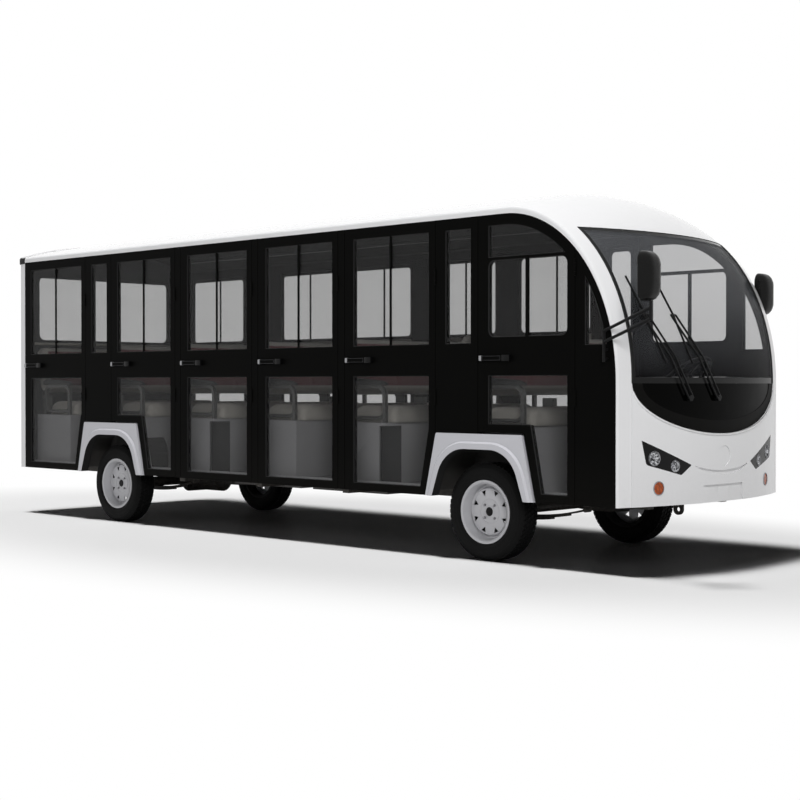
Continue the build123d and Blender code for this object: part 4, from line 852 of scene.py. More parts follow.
block = tread_block(2 * math.pi * tyre_radius / BLOCK_COUNT * BLOCK_SHARE, BLOCK_WIDTH, TREAD_DEPTH)
block_row = grow(ring_tree, Piece=block, Count=BLOCK_COUNT, Radius=tyre_radius - BLOCK_SINK,
                 Finish=tyre_rubber)
print("one row of blocks", len(block_row.polygons), "faces")

# %% Four finished tyres
profile = list(HALF_SECTION) + [(radius, -offset) for radius, offset in reversed(HALF_SECTION)]
for wheel, side in WHEELS.items():
    place = wheel_place(wheel, side)
    carcass = lathe(profile + profile[:1], TYRE_SEGMENTS, place)
    carcass.materials.append(tyre_rubber)
    parts = [carcass]
    for offset, phase in TREAD_ROWS:
        row = block_row.copy()
        row.transform(place @ Matrix.Translation((0, 0, offset))
                      @ Matrix.Rotation(2 * math.pi * phase / BLOCK_COUNT, 4, "Z"))
        parts.append(row)
    tyre = add_piece(f"tyre_{wheel}_tread", join(*parts), None, f"wheel_{wheel}")
    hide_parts(f"tyre_{wheel}")
print("tyres", len(tyre.data.polygons), "faces each")

# %% [markdown]
# ## Wheel nuts and hub
# Four small hexagon nuts hold each steel wheel, and a dark dust cap fills the hub. The nut is built once,
# with its stud, and the `ring` tree sets the four round the hub. Two pressed rings run round the disc.

# %% Nuts, studs and dust caps
NUT_COUNT = 4
NUT_RING = 0.055
DISC_FACE = 0.030
HUB_FACE = 0.034
STEM_RING = 0.160
NUT = ((0.0095, 0.0), (0.0095, 0.002), (0.0078, 0.002), (0.0078, 0.007), (0.0062, 0.009), (0.0, 0.009))
STUD = ((0.0040, 0.0), (0.0040, 0.012), (0.0, 0.013))
CAP = ((0.0, 0.006), (0.016, 0.006), (0.022, 0.005), (0.026, 0.001), (0.028, 0.0), (0.028, -0.004))
STEM = ((0.0, 0.062), (0.0028, 0.061), (0.0034, 0.040), (0.0048, 0.036), (0.0048, 0.012))
DISC_RINGS = ((0.074, 0.0025), (0.139, 0.0030))
RING_FOOT, RING_CREST, RING_SINK = 0.0040, 0.0026, 0.003


def disc_ring(radius, rise, place):
    """A low ring pressed into the wheel disc."""
    foot, crest = DISC_FACE - RING_SINK, DISC_FACE + rise
    return lathe([(radius - RING_FOOT, foot), (radius - RING_CREST, crest),
                  (radius + RING_CREST, crest), (radius + RING_FOOT, foot)], 64, place)


nut_place = Matrix.Rotation(math.pi / 2, 4, "X")
nut = join(lathe(NUT, 6, nut_place, False), lathe(STUD, 10, nut_place))
nuts = grow(ring_tree, Piece=bpy.data.objects.new("wheel_nut", nut), Count=NUT_COUNT, Radius=NUT_RING,
            Finish=dull_metal)
for wheel, side in WHEELS.items():
    place = wheel_place(wheel, side)
    ring = nuts.copy()
    ring.transform(place @ Matrix.Translation((0, 0, DISC_FACE)) @ Matrix.Rotation(math.pi / 4, 4, "Z"))
    cap = lathe([(radius, HUB_FACE + offset) for radius, offset in CAP], 40, place)
    stem = lathe(STEM, 12, place @ Matrix.Translation((STEM_RING, 0, 0)))
    rings = [disc_ring(radius, rise, place) for radius, rise in DISC_RINGS]
    add_piece(f"disc_rings_{wheel}", join(*rings), wheel_paint, f"wheel_{wheel}")
    add_piece(f"wheel_nuts_{wheel}", ring, dull_metal, f"wheel_{wheel}")
    add_piece(f"hub_cap_{wheel}", join(cap, stem), black_plastic, f"wheel_{wheel}")
print("nuts", len(nuts.polygons), "faces a wheel")

# %% [markdown]
# ## Window rubbers
# Each pane sits in a rubber channel that shows as a thin bead round the opening. The bead follows the edge of
# the pane's outer face, so the path is read from the glass itself and the `bead` tree runs a round section
# along it.

# %% Rubbers round every side pane
RUBBER = 0.0055
RUBBER_OUT = 0.004
OUTWARDS = 0.9


def outer_loops(node):
    """Edges of the panes' outward faces as a wire mesh, moved a little outwards."""
    work = bmesh.new()
    work.from_mesh(nodes[node].data)
    bmesh.ops.remove_doubles(work, verts=work.verts, dist=CAD_WELD)
    bmesh.ops.dissolve_limit(work, angle_limit=math.radians(1), verts=work.verts, edges=work.edges)
    verts, edges = [], []
    for face in work.faces:
        side = side_of(face.calc_center_median().y)
        if face.normal.y * side < OUTWARDS:
            continue
        first = len(verts)
        verts += [vert.co + Vector((0, side * RUBBER_OUT, 0)) for vert in face.verts]
        edges += [(first + i, first + (i + 1) % len(face.verts)) for i in range(len(face.verts))]
    work.free()
    return new_mesh("loops", verts, (), edges)


for node in glass_nodes:
    rubber = bead(outer_loops(node), RUBBER, 6, window_rubber)
    add_piece(f"rubber_{node}", rubber, None, body_of[node])

# %% [markdown]
# ## Headlamps
# Behind each round cover is a bright dish pressed in facets, which is what sparkles in daylight; the sparkle
# is painted into the dish's finish as dark and bright facets, a painted reflection. A coarse lathe left
# flat-shaded makes the dish, a smooth one the bezel and the clear cover. The places are found by dropping a
# line onto the CAD lens, so the lamps lie on the curved nose.

# %% Lamps on the nose
LAMPS = ((0.156, 0.658, 0.044), (0.314, 0.610, 0.036))
TURN_IN, TURN_Z, TURN_RADIUS = 0.188, 0.487, 0.039
DISH = ((0.93, -0.001), (0.72, -0.006), (0.48, -0.010), (0.24, -0.012), (0.20, -0.004), (0.0, -0.002))
COVER = ((0.95, -0.001), (0.80, 0.0015), (0.4, 0.003), (0.0, 0.0035))
BEZEL = ((0.90, -0.012), (0.92, 0.001), (0.97, 0.003), (1.0, 0.0), (1.0, -0.012))
TURN_BEZEL = ((0.90, -0.004), (0.93, 0.003), (1.04, 0.003), (1.08, -0.004))


def lamp_shape(profile, radius, segments, place, smooth=True):
    """Revolve a profile whose radii are shares of the lamp's radius."""
    return lathe([(radius * share, offset) for share, offset in profile], segments, place, smooth)


dishes, covers, bezels = [], [], []
for side in (-1, 1):
    for inward, z, radius in LAMPS:
        place = seat_on("headlamps", side * (seam_y - inward), z)
        dishes.append(lamp_shape(DISH, radius, 14, place, False))
        covers.append(lamp_shape(COVER, radius, 36, place))
        bezels.append(lamp_shape(BEZEL, radius, 36, place))
    place = seat_on("turn_lamps", side * (seam_y - TURN_IN), TURN_Z)
    bezels.append(lamp_shape(TURN_BEZEL, TURN_RADIUS, 36, place))
dish = body_piece("headlamp_dishes", dishes, reflector)
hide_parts("headlamps")
body_piece("headlamp_covers", covers, clear_cover)
body_piece("lamp_bezels", bezels, dull_metal)
print("lamps", len(dishes), "and", len(bezels) - len(dishes), "turn-lamp bezels")

# %% [markdown]
# ## Door handles
# Each door has a pull handle: a silver thumb piece at the rear end, a grip with a fine edge line, and a black
# lock block in front. The CAD door carries the grip itself, so its place is read from the door's furthest
# points.

# %% Handles on every door
GRIP_FROM = 0.012
THUMB_LENGTH = 0.024
LOCK_LENGTH = 0.058
GRIP_FRONT = 0.170
LINE_GAP = 0.005
LINE_IN = 0.003
LINE_OUT = 0.0004
LINE_WIDTH = 0.0013
for door in doors:
    side = side_of(middle(door).y)
    grip = [vert.co for vert in nodes[door].data.vertices if vert.co.y * side > half_width + GRIP_FROM]
    x0, x1 = min(co.x for co in grip), max(co.x for co in grip)
    z0, z1 = min(co.z for co in grip), max(co.z for co in grip)
    out = max(co.y * side for co in grip)
    thumb = slab(*sided(side, (x0 - 0.001, half_width, z0 - 0.002),
                        (x0 + THUMB_LENGTH, out + 0.001, z1 + 0.002)), 0.006, 3)
    lock = slab(*sided(side, (x1 - LOCK_LENGTH, half_width, z0 - 0.004),
                       (x1 + 0.001, out + 0.002, z1 + 0.004)), 0.003, 2)
    rear, front = x0 + THUMB_LENGTH + LINE_GAP, x0 + GRIP_FRONT
    low, high = z0 + LINE_IN, z1 - LINE_IN
    corners = [(rear, low), (front, low), (front, high), (rear, high)]
    loop = chain([(x, side * (out + LINE_OUT), z) for x, z in corners], closed=True)
    line = bead(loop, LINE_WIDTH, 5, dark_steel)
    add_piece(f"handle_thumb_{door}", thumb, dull_metal, body_of[door])
    add_piece(f"handle_lock_{door}", lock, lamp_black, body_of[door])
    add_piece(f"handle_line_{door}", line, None, body_of[door])
print("handles on", len(doors), "doors")

# %% [markdown]
# ## Window frames inside the far side
# The left bays don't open. Behind each upper pane is a black frame with round corners that holds a fixed
# sash, and a beige sill box under it. The frame is a flat plate with a hole: outline and hole get the same
# number of points, so the two loops join into one ring of faces.

# %% Frame plates
def frame_plate(outer, hole, radius, place, depth):
    """A flat plate (u, v) with a round-cornered hole, placed by a function of u, v and depth."""
    u0, u1, v0, v1 = outer
    inner_loop = rounded_plan(*hole, radius)
    count = len(inner_loop)
    outer_loop = [corner for corner in ((u1, v1), (u0, v1), (u0, v0), (u1, v0)) for _ in range(count // 4)]
    verts = [place(u, v, w) for w in (0.0, depth) for loop in (outer_loop, inner_loop) for u, v in loop]
    faces = []
    for i in range(count):
        j = (i + 1) % count
        faces.append((i, j, count + j, count + i))
        faces.append((2 * count + i, 3 * count + i, 3 * count + j, 2 * count + j))
        faces.append((i, 2 * count + i, 2 * count + j, j))
        faces.append((count + i, count + j, 3 * count + j, 3 * count + i))
    return tidy(new_mesh("frame_plate", verts, faces))


print("frame plates ready")

# %% Frames and sill boxes on the left side
SASH_SIDE = 0.022
SASH_BOTTOM = 1.462
SASH_TOP_DROP = 0.026
SASH_ROUND = 0.032
SILL_TOP = 1.438
SILL_ACROSS = (0.815, 0.850)
FRAME_Y = 0.838
FRAME_DEPTH = 0.009
UPPER_FROM = 1.2
FRONT_BAY = 0.2
PLAY = 0.001


def on_left(u, v, w):
    """A place on the left windows' frame plane."""
    return u, FRAME_Y + w, v


frames, sills = [], []
for low, high in islands("side_glass"):
    if low.y + high.y <= 0 or low.z < UPPER_FROM or high.x > front_axle.x + FRONT_BAY:
        continue
    outer = (low.x + PLAY, high.x - PLAY, SILL_TOP, high.z - PLAY)
    hole = (low.x + SASH_SIDE, high.x - SASH_SIDE, SASH_BOTTOM, high.z - SASH_TOP_DROP)
    frames.append(frame_plate(outer, hole, SASH_ROUND, on_left, FRAME_DEPTH))
    sills.append(slab((low.x + PLAY, SILL_ACROSS[0], low.z + PLAY),
                      (high.x - PLAY, SILL_ACROSS[1], SILL_TOP), 0.006))
print("left frames", len(frames))

# %% Frame and corner duct at the rear
rear_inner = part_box("rear_panel")[1].x
REAR_HOLE = (-0.735, 0.600, 1.456, 1.990)
REAR_PLATE = (-0.800, 0.800, 1.412, 2.040)
REAR_ROUND = 0.050
REAR_DEPTH = 0.008
DUCT_FROM = 0.010
DUCT_ACROSS, DUCT_TO, DUCT_OVER = (0.640, 0.815), 0.070, 0.02
SHELF_ACROSS, SHELF_TO, SHELF_UNDER = (-0.815, 0.620), 0.060, 0.030


def on_rear(u, v, w):
    """A place on the rear window's inner frame plane."""
    return rear_inner + PLAY + w, u, v


frames.append(frame_plate(REAR_PLATE, REAR_HOLE, REAR_ROUND, on_rear, REAR_DEPTH))
sills.append(slab((rear_inner + DUCT_FROM, DUCT_ACROSS[0], REAR_PLATE[2]),
                  (rear_inner + DUCT_TO, DUCT_ACROSS[1], REAR_PLATE[3] + DUCT_OVER), 0.012, 3))
sills.append(slab((rear_inner + DUCT_FROM, SHELF_ACROSS[0], REAR_PLATE[2]),
                  (rear_inner + SHELF_TO, SHELF_ACROSS[1], SASH_BOTTOM - SHELF_UNDER), 0.008, 2))
body_piece("sash_frames", frames, black_plastic)
body_piece("sill_boxes", sills, trim_paint)
print("frames", len(frames), "sills", len(sills))

# %% [markdown]
# ## Mirror housings
# The CAD mirror heads are plain blocks on their arms. The real ones are moulded shells, flat at the glass and
# swelling to a round back. The blocks' faces come out of the mirror skin, and a shell made of shrinking
# rounded outlines takes their place, with a sheet of mirror glass on the flat side.

# %% Moulded mirror heads
HEAD_SIZE = Vector((0.080, 0.150, 0.275))
HEAD_ROUND = 0.052
HEAD_STEPS = ((0.0, 0.94), (0.06, 1.0), (0.30, 0.985), (0.55, 0.93),
              (0.75, 0.83), (0.88, 0.70), (0.96, 0.52), (1.0, 0.30))
CUT_MARGIN = 0.002
SHEET_HALF = (0.062, 0.122)
SHEET_ROUND = 0.042
SHEET_FACES = (-0.0012, 0.001)


def mirror_head(back, middle_y, middle_z):
    """A shell with its flat side at x = back, swelling forwards."""
    half_y, half_z = HEAD_SIZE.y / 2, HEAD_SIZE.z / 2
    outline = rounded_plan(-half_y, half_y, -half_z, half_z, HEAD_ROUND)
    verts = [(back + HEAD_SIZE.x * share, middle_y + u * scale, middle_z + v * scale)
             for share, scale in HEAD_STEPS for u, v in outline]
    return closed_rings(verts, len(outline))


def mirror_sheet(back, middle_y, middle_z):
    """A thin sheet of glass on the flat side."""
    half_y, half_z = SHEET_HALF
    outline = rounded_plan(middle_y - half_y, middle_y + half_y,
                           middle_z - half_z, middle_z + half_z, SHEET_ROUND)
    return closed_rings([(back + w, u, v) for w in SHEET_FACES for u, v in outline], len(outline))


heads, sheets = [], []
work = bmesh.new()
work.from_mesh(skins["mirrors"].data)
for low, high in islands("mirrors"):
    side = side_of(low.y)
    front = high.x if side < 0 else low.x + HEAD_SIZE.x
    outer = side * max(abs(low.y), abs(high.y))
    head_low = Vector((front - HEAD_SIZE.x, min(outer, outer - side * HEAD_SIZE.y), high.z - HEAD_SIZE.z))
    head_high = head_low + HEAD_SIZE
    inside = [face for face in work.faces if all(
        head_low[axis] - CUT_MARGIN < vert.co[axis] < head_high[axis] + CUT_MARGIN
        for vert in face.verts for axis in range(3))]
    bmesh.ops.delete(work, geom=inside, context="FACES")
    centre = (head_low + head_high) / 2
    heads.append(mirror_head(head_low.x, centre.y, centre.z))
    sheets.append(mirror_sheet(head_low.x, centre.y, centre.z))
    print("mirror head, faces taken out", len(inside))
work.to_mesh(skins["mirrors"].data)
work.free()
body_piece("mirror_heads", heads, mirror_shell)
body_piece("mirror_sheets", sheets, mirror_glass)

# %% [markdown]
# ## Front trim
# A rubber runs up both edges of the windscreen, and the white moulding folds into a rounded lip round the
# black apron. Both follow the curved front: lines are dropped onto the CAD surfaces from ahead, and the
# `bead` tree sweeps a round section along the points where they land.

# %% Screen rubbers and apron lip
SCREEN_RUBBER = 0.0055
EDGE_IN = 0.004
EDGE_TOP_GAP = 0.012
LIP = 0.0065
LIP_OUT = 0.004
LIP_FROM, LIP_SPAN = 0.05, 0.90
LINE_STEPS = 48
shares = [i / LINE_STEPS for i in range(LINE_STEPS + 1)]
edges = []
for side in (-1, 1):
    line = [seat_on("windshield", side * (seam_y - EDGE_IN), glass_low.z + EDGE_IN
                    + (glass_high.z - glass_low.z - EDGE_TOP_GAP) * share).translation for share in shares]
    edges.append(bead(chain(line), SCREEN_RUBBER, 8, window_rubber))
body_piece("screen_rubbers", edges, window_rubber)
lip_line = []
for share in shares:
    angle = math.pi * (LIP_FROM + LIP_SPAN * share)
    lip_line.append(seat_on("nose_panel", (seam_y + LIP_OUT) * math.cos(angle),
                            glass_low.z - (apron_drop + LIP_OUT) * math.sin(angle)).translation)
lip = bead(chain(lip_line), LIP, 10, white_paint)
add_piece("apron_lip", lip, white_paint, "body")
print("front trim", len(edges), "rubbers and a lip of", len(lip.polygons), "faces")

# %% [markdown]
# ## Cabin fittings
# The ceiling has long battens and three flat lamps, each doorway a ribbed sill tread, each wheel arch a pale
# trim strip inside, and the driver an instrument pod, a switch row and two pedals.

# %% Ceiling, sills and arch trims
BATTENS = ((0.28, 2.232), (0.62, 2.178))
BATTEN_ENDS = (-2.95, 2.15)
BATTEN_HALF, BATTEN_DROP, BATTEN_SINK = 0.018, 0.016, 0.003
LIGHT_PLACES = (-2.2, -0.3, 1.5)
LIGHT = ((0.0, 2.226), (0.070, 2.227), (0.082, 2.232), (0.086, 2.248))
battens = [slab((BATTEN_ENDS[0], side * y - BATTEN_HALF, z - BATTEN_DROP),
                (BATTEN_ENDS[1], side * y + BATTEN_HALF, z + BATTEN_SINK), 0.005)
           for y, z in BATTENS for side in (-1, 1)]
body_piece("ceiling_battens", battens, dark_steel)
lights = [lathe(LIGHT, 40, Matrix.Translation((x, 0, 0))) for x in LIGHT_PLACES]
body_piece("ceiling_lamps", lights, clear_diffuser)

TREAD_ACROSS = (0.752, 0.826)
TREAD_FOOT, TREAD_TOP = 0.434, 0.4405
TREAD_END_GAP, WELL_GAP, TREAD_SHORTEST = 0.03, 0.01, 0.1
RIBS_AT = (0.760, 0.774, 0.788, 0.802, 0.814)
RIB_WIDTH, RIB_RISE = 0.006, 0.0035
wells = islands("wheel_housings")
treads = []
for door in doors:
    side = side_of(middle(door).y)
    x0, x1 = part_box(door)[0].x + TREAD_END_GAP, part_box(door)[1].x - TREAD_END_GAP
    for low, high in wells:
        if low.x < x1 and high.x > x0 and low.y * side > 0:
            x0, x1 = (high.x + WELL_GAP, x1) if x1 - high.x > low.x - x0 else (x0, low.x - WELL_GAP)
    if x1 - x0 < TREAD_SHORTEST:
        continue
    treads.append(slab(*sided(side, (x0, TREAD_ACROSS[0], TREAD_FOOT),
                              (x1, TREAD_ACROSS[1], TREAD_TOP)), 0.002))
    treads += [slab(*sided(side, (x0, y, TREAD_TOP - PLAY),
                           (x1, y + RIB_WIDTH, TREAD_TOP + RIB_RISE)), 0.0015, 1) for y in RIBS_AT]
body_piece("sill_treads", treads, sill_metal)

ARCH_STRIP = ((0.350, 0.800), (0.442, 0.445))
STRIP_Y, STRIP_WIDTH = 0.812, 0.013
strips = [bead(chain([(axle.x + along, side * STRIP_Y, z) for along, z in ARCH_STRIP]),
               STRIP_WIDTH, 4, base_paint) for axle in (front_axle, rear_axle) for side in (-1, 1)]
body_piece("arch_strips", strips, base_paint)
print("battens", len(battens), "treads", len(treads), "strips", len(strips))

# %% Driver's place
desk = Vector((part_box("dashboard")[0].x, middle("steering_wheel").y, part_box("dashboard")[1].z))
POD = ((0.075, -0.135, -0.03), (0.215, 0.135, 0.065))
SWITCH = ((-0.006, -0.36, -0.115), (0.010, -0.33, -0.070))
SWITCH_COUNT, SWITCH_PITCH = 4, 0.045
PEDAL = ((0.015, -0.035, 0.500), (0.030, 0.035, 0.590))
PEDAL_ARM = ((0.028, -0.009, 0.430), (0.046, 0.009, 0.560))
PEDALS_AT = (-0.10, 0.10)
DIAL = ((0.0, 0.004), (0.034, 0.004), (0.038, 0.006), (0.041, 0.004), (0.041, -0.004))
DIALS_AT = (-0.055, 0.055)
DIAL_IN, DIAL_UP = 0.076, 0.018
facing_back = Matrix.Rotation(-math.pi / 2, 4, "Y")


def at_desk(box, shift, foot):
    """Corners of a small box placed from the dashboard's edge and the steering wheel's middle."""
    return [(desk.x + x, desk.y + shift + y, foot + z) for x, y, z in box]


pod = [slab(*at_desk(POD, 0.0, desk.z), 0.022, 4)]
pod += [slab(*at_desk(SWITCH, SWITCH_PITCH * i, desk.z), 0.003) for i in range(SWITCH_COUNT)]
for offset in PEDALS_AT:
    pod.append(slab(*at_desk(PEDAL, offset, 0.0), 0.005))
    pod.append(slab(*at_desk(PEDAL_ARM, offset, 0.0), 0.004))
body_piece("driver_controls", pod, arm_pad)
dial_places = [(desk.x + DIAL_IN, desk.y + offset, desk.z + DIAL_UP) for offset in DIALS_AT]
dials = [lathe(DIAL, 40, Matrix.Translation(place) @ facing_back) for place in dial_places]
body_piece("dial_glasses", dials, dull_metal)
print("driver's place", len(pod), "pieces,", len(dials), "dials")

# %% [markdown]
# ## Rear face
# The photograph doesn't show the rear, so it is finished by type: a rubber round the window, black bezels
# round the lamps, a rubber bumper strip, a drip rail with black end caps over the roof's edge, two round
# reflectors and a blank number plate.

# %% Rear trim
TRIM_OUT = 0.004
WINDOW_TRIM = (0.016, -0.014, 0.045, 0.012)
LAMP_TRIM = (0.012, -0.004, 0.014, 0.016)
BUMPER = ((-0.016, -0.80, 0.428), (0.004, 0.80, 0.486))
CORNER_CAP = ((-0.001, 0.835, 2.085), (0.085, 0.8735, 2.142))
PLATE = ((-0.006, -0.225, 0.565), (0.003, 0.225, 0.710))
REFLECTOR = ((0.0, 0.008), (0.022, 0.007), (0.028, 0.003), (0.030, -0.004))
REFLECTORS_AT, REFLECTOR_Z = (-0.66, 0.66), 0.600
DRIP_HALF, DRIP_STEPS = 0.862, 32
DRIP_PROBE, DRIP_IN, DRIP_SINK, DRIP_WIDTH = 0.045, 0.016, 0.004, 0.013
rear_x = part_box("rear_panel")[0].x


def behind(u, v, w):
    """A place on the rear face's trim."""
    return rear_x - TRIM_OUT + w, u, v


def trim_round(low, high, out, hole, radius, depth):
    """A black frame round a box on the rear face; out and hole are margins of its two edges."""
    outer, inner = ((low.y - by, high.y + by, low.z - by, high.z + by) for by in (out, hole))
    return frame_plate(outer, inner, radius, behind, depth)


def at_rear(box):
    """Corners of a box given from the rear face."""
    return [(rear_x + x, y, z) for x, y, z in box]


rear_trim = [trim_round(*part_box("rear_window"), *WINDOW_TRIM)]
rear_trim += [trim_round(low, high, *LAMP_TRIM) for low, high in islands("tail_lamps")]
rear_trim.append(slab(*at_rear(BUMPER), 0.007, 3))
rear_trim += [slab(*sided(side, *at_rear(CORNER_CAP)), 0.012, 3) for side in (-1, 1)]
roof = surface_of("roof_shell")
drip_line = []
for i in range(DRIP_STEPS + 1):
    y = DRIP_HALF * math.sin(math.pi / 2 * (2 * i / DRIP_STEPS - 1))
    spot = roof.ray_cast(Vector((rear_x + DRIP_PROBE, y, 3.0)), Vector((0, 0, -1)))[0]
    drip_line.append((rear_x + DRIP_IN, spot.y, spot.z - DRIP_SINK))
add_piece("drip_rail", bead(chain(drip_line), DRIP_WIDTH, 10, white_paint), white_paint, "body")
body_piece("rear_trim", rear_trim, window_rubber)
# The blank plate shares the flares' paint, greyed as painted shade.
add_piece("blank_plate", slab(*at_rear(PLATE), 0.0025), flare_white_painted_shade, "body")
dots = [lathe(REFLECTOR, 32, Matrix.Translation((rear_x, y, REFLECTOR_Z)) @ facing_back)
        for y in REFLECTORS_AT]
body_piece("rear_reflectors", dots, red_lens)
print("rear trim", len(rear_trim), "pieces")

# %% [markdown]
# ## Arm rests
# The bent arm tubes carry a moulded black top that slopes down to the front, and a lower rail that closes the
# loop. The top is lofted: a few rounded sections along the arm, each with its own height, joined in order.

# %% Arm tops and lower rails
ARM_STATIONS = ((-0.012, 0.018, 0.030), (0.000, 0.030, 0.044), (0.10, 0.044, 0.046), (0.55, 0.036, 0.046),
                (0.90, 0.024, 0.044), (1.00, 0.010, 0.036), (1.015, 0.000, 0.020))
ARM_SECTION = 12
ARM_SQUARE = 0.6
ARM_SINK = 0.006
ARM_FRONT = 0.01
ARM_WIDEST, ARM_OUTER = 0.05, 0.6
RAIL_RISE = 0.032
RAIL_RADIUS = 0.0125
RAIL_CORNER = 0.060
RAIL_END = 0.10
RAIL_STEPS = 6


def squared(value):
    """Push a sine or cosine towards the corners of a square."""
    return math.copysign(abs(value) ** ARM_SQUARE, value)


def arm_top(x0, x1, y, z):
    """A sloping moulded arm top resting on the tube between x0 and x1."""
    verts = []
    for share, height, width in ARM_STATIONS:
        for point in range(ARM_SECTION):
            angle = 2 * math.pi * point / ARM_SECTION
            across, up = squared(math.cos(angle)) * width / 2, squared(math.sin(angle))
            rise = (height + ARM_SINK) * (up + 1) / 2
            verts.append((x0 + (x1 - x0) * share, y + across, z - ARM_SINK + rise))
    return closed_rings(verts, ARM_SECTION)


tops, rails = [], []
for low, high in islands("seat_frames"):
    if high.y - low.y > ARM_WIDEST or abs(low.y) < ARM_OUTER:
        continue
    y, tube = (low.y + high.y) / 2, high.y - low.y
    tops.append(arm_top(low.x - ARM_FRONT, high.x, y, high.z))
    x0, x1, bottom = low.x + tube / 2, high.x - tube / 2, low.z + RAIL_RISE
    path = [(x0, y, bottom + RAIL_END)]
    for cx, turn in ((x0 + RAIL_CORNER, 2), (x1 - RAIL_CORNER, 3)):
        for step_index in range(RAIL_STEPS + 1):
            angle = math.pi / 2 * (turn + step_index / RAIL_STEPS)
            path.append((cx + RAIL_CORNER * math.cos(angle), y, bottom + RAIL_CORNER * (1 + math.sin(angle))))
    path.append((x1, y, bottom + RAIL_END))
    rails.append(bead(chain(path), RAIL_RADIUS, 8, tube_paint))
body_piece("arm_tops", tops, arm_pad)
body_piece("arm_lower_rails", rails, tube_paint)
print("arm rests", len(tops))

# %% [markdown]
# ## Seat pads
# The benches are foam under leatherette, so their faces belly out between the seams and their edges stay
# tight. A plain solid can't show that. Each pad starts a little small, is remeshed evenly, and is blown up by
# Blender's cloth solver with a gentle inside pressure and no gravity, its underside held. One cushion and one
# back are simulated, and the six rows share the result. Quilting lines are pressed in afterwards, since
# remeshing would have erased them.

# %% Rows of seats from the frame
cushion_rows = islands("seat_cushions")
back_rows = islands("seat_backs")
print("rows", len(cushion_rows), len(back_rows))

# %% Pad solver
VOXEL = 0.015
PAD_PRESSURE = 4.0
PAD_FRAMES = 20
CLOTH = {"quality": 5, "mass": 0.3, "tension_stiffness": 12, "compression_stiffness": 12,
         "bending_stiffness": 0.6, "use_pressure": True, "uniform_pressure_force": PAD_PRESSURE}


def pad_block(outline, z0, z1, inset):
    """A prism over a plan outline, its top drawn in, as the pad's starting shape."""
    count = len(outline)
    centre = sum((Vector(p) for p in outline), Vector((0, 0))) / count
    verts = []
    for z, draw in ((z0, 0.0), (z1 - inset, 0.0), (z1, inset)):
        for point in outline:
            away = Vector(point) - centre
            near = centre + away * (1 - draw / max(away.length, draw))
            verts.append((near.x, near.y, z))
    faces = [tuple(range(count - 1, -1, -1)), tuple(range(2 * count, 3 * count))]
    for here in (0, count):
        for i in range(count):
            j = (i + 1) % count
            faces.append((here + i, here + j, here + count + j, here + count + i))
    return tidy(new_mesh("pad", verts, faces), False)


def settled(pad):
    """Give the object the mesh that its modifiers make, and clear them."""
    graph = bpy.context.evaluated_depsgraph_get()
    pad.data = bpy.data.meshes.new_from_object(pad.evaluated_get(graph))
    pad.modifiers.clear()


def inflate(mesh, held_below, cap):
    """Blow a pad up with the cloth solver; low points are held and none moves further than the cap."""
    pad = bpy.data.objects.new("pad", mesh)
    scene.collection.objects.link(pad)
    remesh = pad.modifiers.new("even", "REMESH")
    remesh.mode = "VOXEL"
    remesh.voxel_size = VOXEL
    settled(pad)
    rest = [vert.co.copy() for vert in pad.data.vertices]
    held = pad.vertex_groups.new(name="held")
    held.add([index for index, co in enumerate(rest) if co.z < held_below], 1.0, "REPLACE")
    cloth = pad.modifiers.new("cloth", "CLOTH")
    for key, value in CLOTH.items():
        setattr(cloth.settings, key, value)
    cloth.settings.effector_weights.gravity = 0
    cloth.settings.vertex_group_mass = "held"
    cloth.point_cache.frame_end = PAD_FRAMES
    for step_frame in range(1, PAD_FRAMES + 1):
        scene.frame_set(step_frame)
    settled(pad)
    scene.frame_set(1)
    moved = 0.0
    for vert, start_co in zip(pad.data.vertices, rest):
        shift = vert.co - start_co
        if shift.length > cap:
            vert.co = start_co + shift.normalized() * cap
        moved = max(moved, (vert.co - start_co).length)
    done = pad.data
    bpy.data.objects.remove(pad)
    print("pad", len(done.vertices), "points, moved up to", round(moved * 1000, 1), "mm")
    return done


print("pad solver ready")

# %% Cushions
SEATS_PER_BENCH = 3
PAD_INSET = 0.010
PAD_ROUND = 0.055
CUSHION_CAP = 0.014
CHANNEL_DEPTH = 0.009
CHANNEL_WIDTH = 0.010


def press_channels(mesh, width, axis):
    """Press the sewn lines between the seats into the padded side of a bench."""
    lines = [width * (share / SEATS_PER_BENCH - 0.5) for share in range(1, SEATS_PER_BENCH)]
    for vert in mesh.vertices:
        weight = max(vert.normal.z, 0.0)
        if weight > 0:
            near = min(abs(vert.co[axis] - line) for line in lines)
            vert.co -= vert.normal * CHANNEL_DEPTH * weight * math.exp(-(near / CHANNEL_WIDTH) ** 2)


def bench_pad(name, mesh, place, finish):
    """One row's pad: a placed copy, softened by a level of subdivision."""
    mesh = mesh.copy()
    mesh.transform(place)
    mesh.shade_smooth()
    piece = add_piece(name, mesh, finish, "body")
    smooth = piece.modifiers.new("soften", "SUBSURF")
    smooth.levels = smooth.render_levels = 1
    return piece


low, high = cushion_rows[0]
size = high - low
plan = rounded_plan(-size.x / 2 + PAD_INSET, size.x / 2 - PAD_INSET, -size.y / 2 + PAD_INSET,
                    size.y / 2 - PAD_INSET, PAD_ROUND)
cushion = inflate(pad_block(plan, 0.0, size.z - PAD_INSET, 0.022), 0.012, CUSHION_CAP)
press_channels(cushion, size.y, 1)
for number, (low, high) in enumerate(cushion_rows, start=1):
    place = Matrix.Translation(((low.x + high.x) / 2, 0, low.z))
    piece = bench_pad(f"seat_cushion_row_{number}", cushion, place, beige_cover)
    if number == 1:
        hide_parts("seat_cushions")
print("cushions", len(cushion_rows))

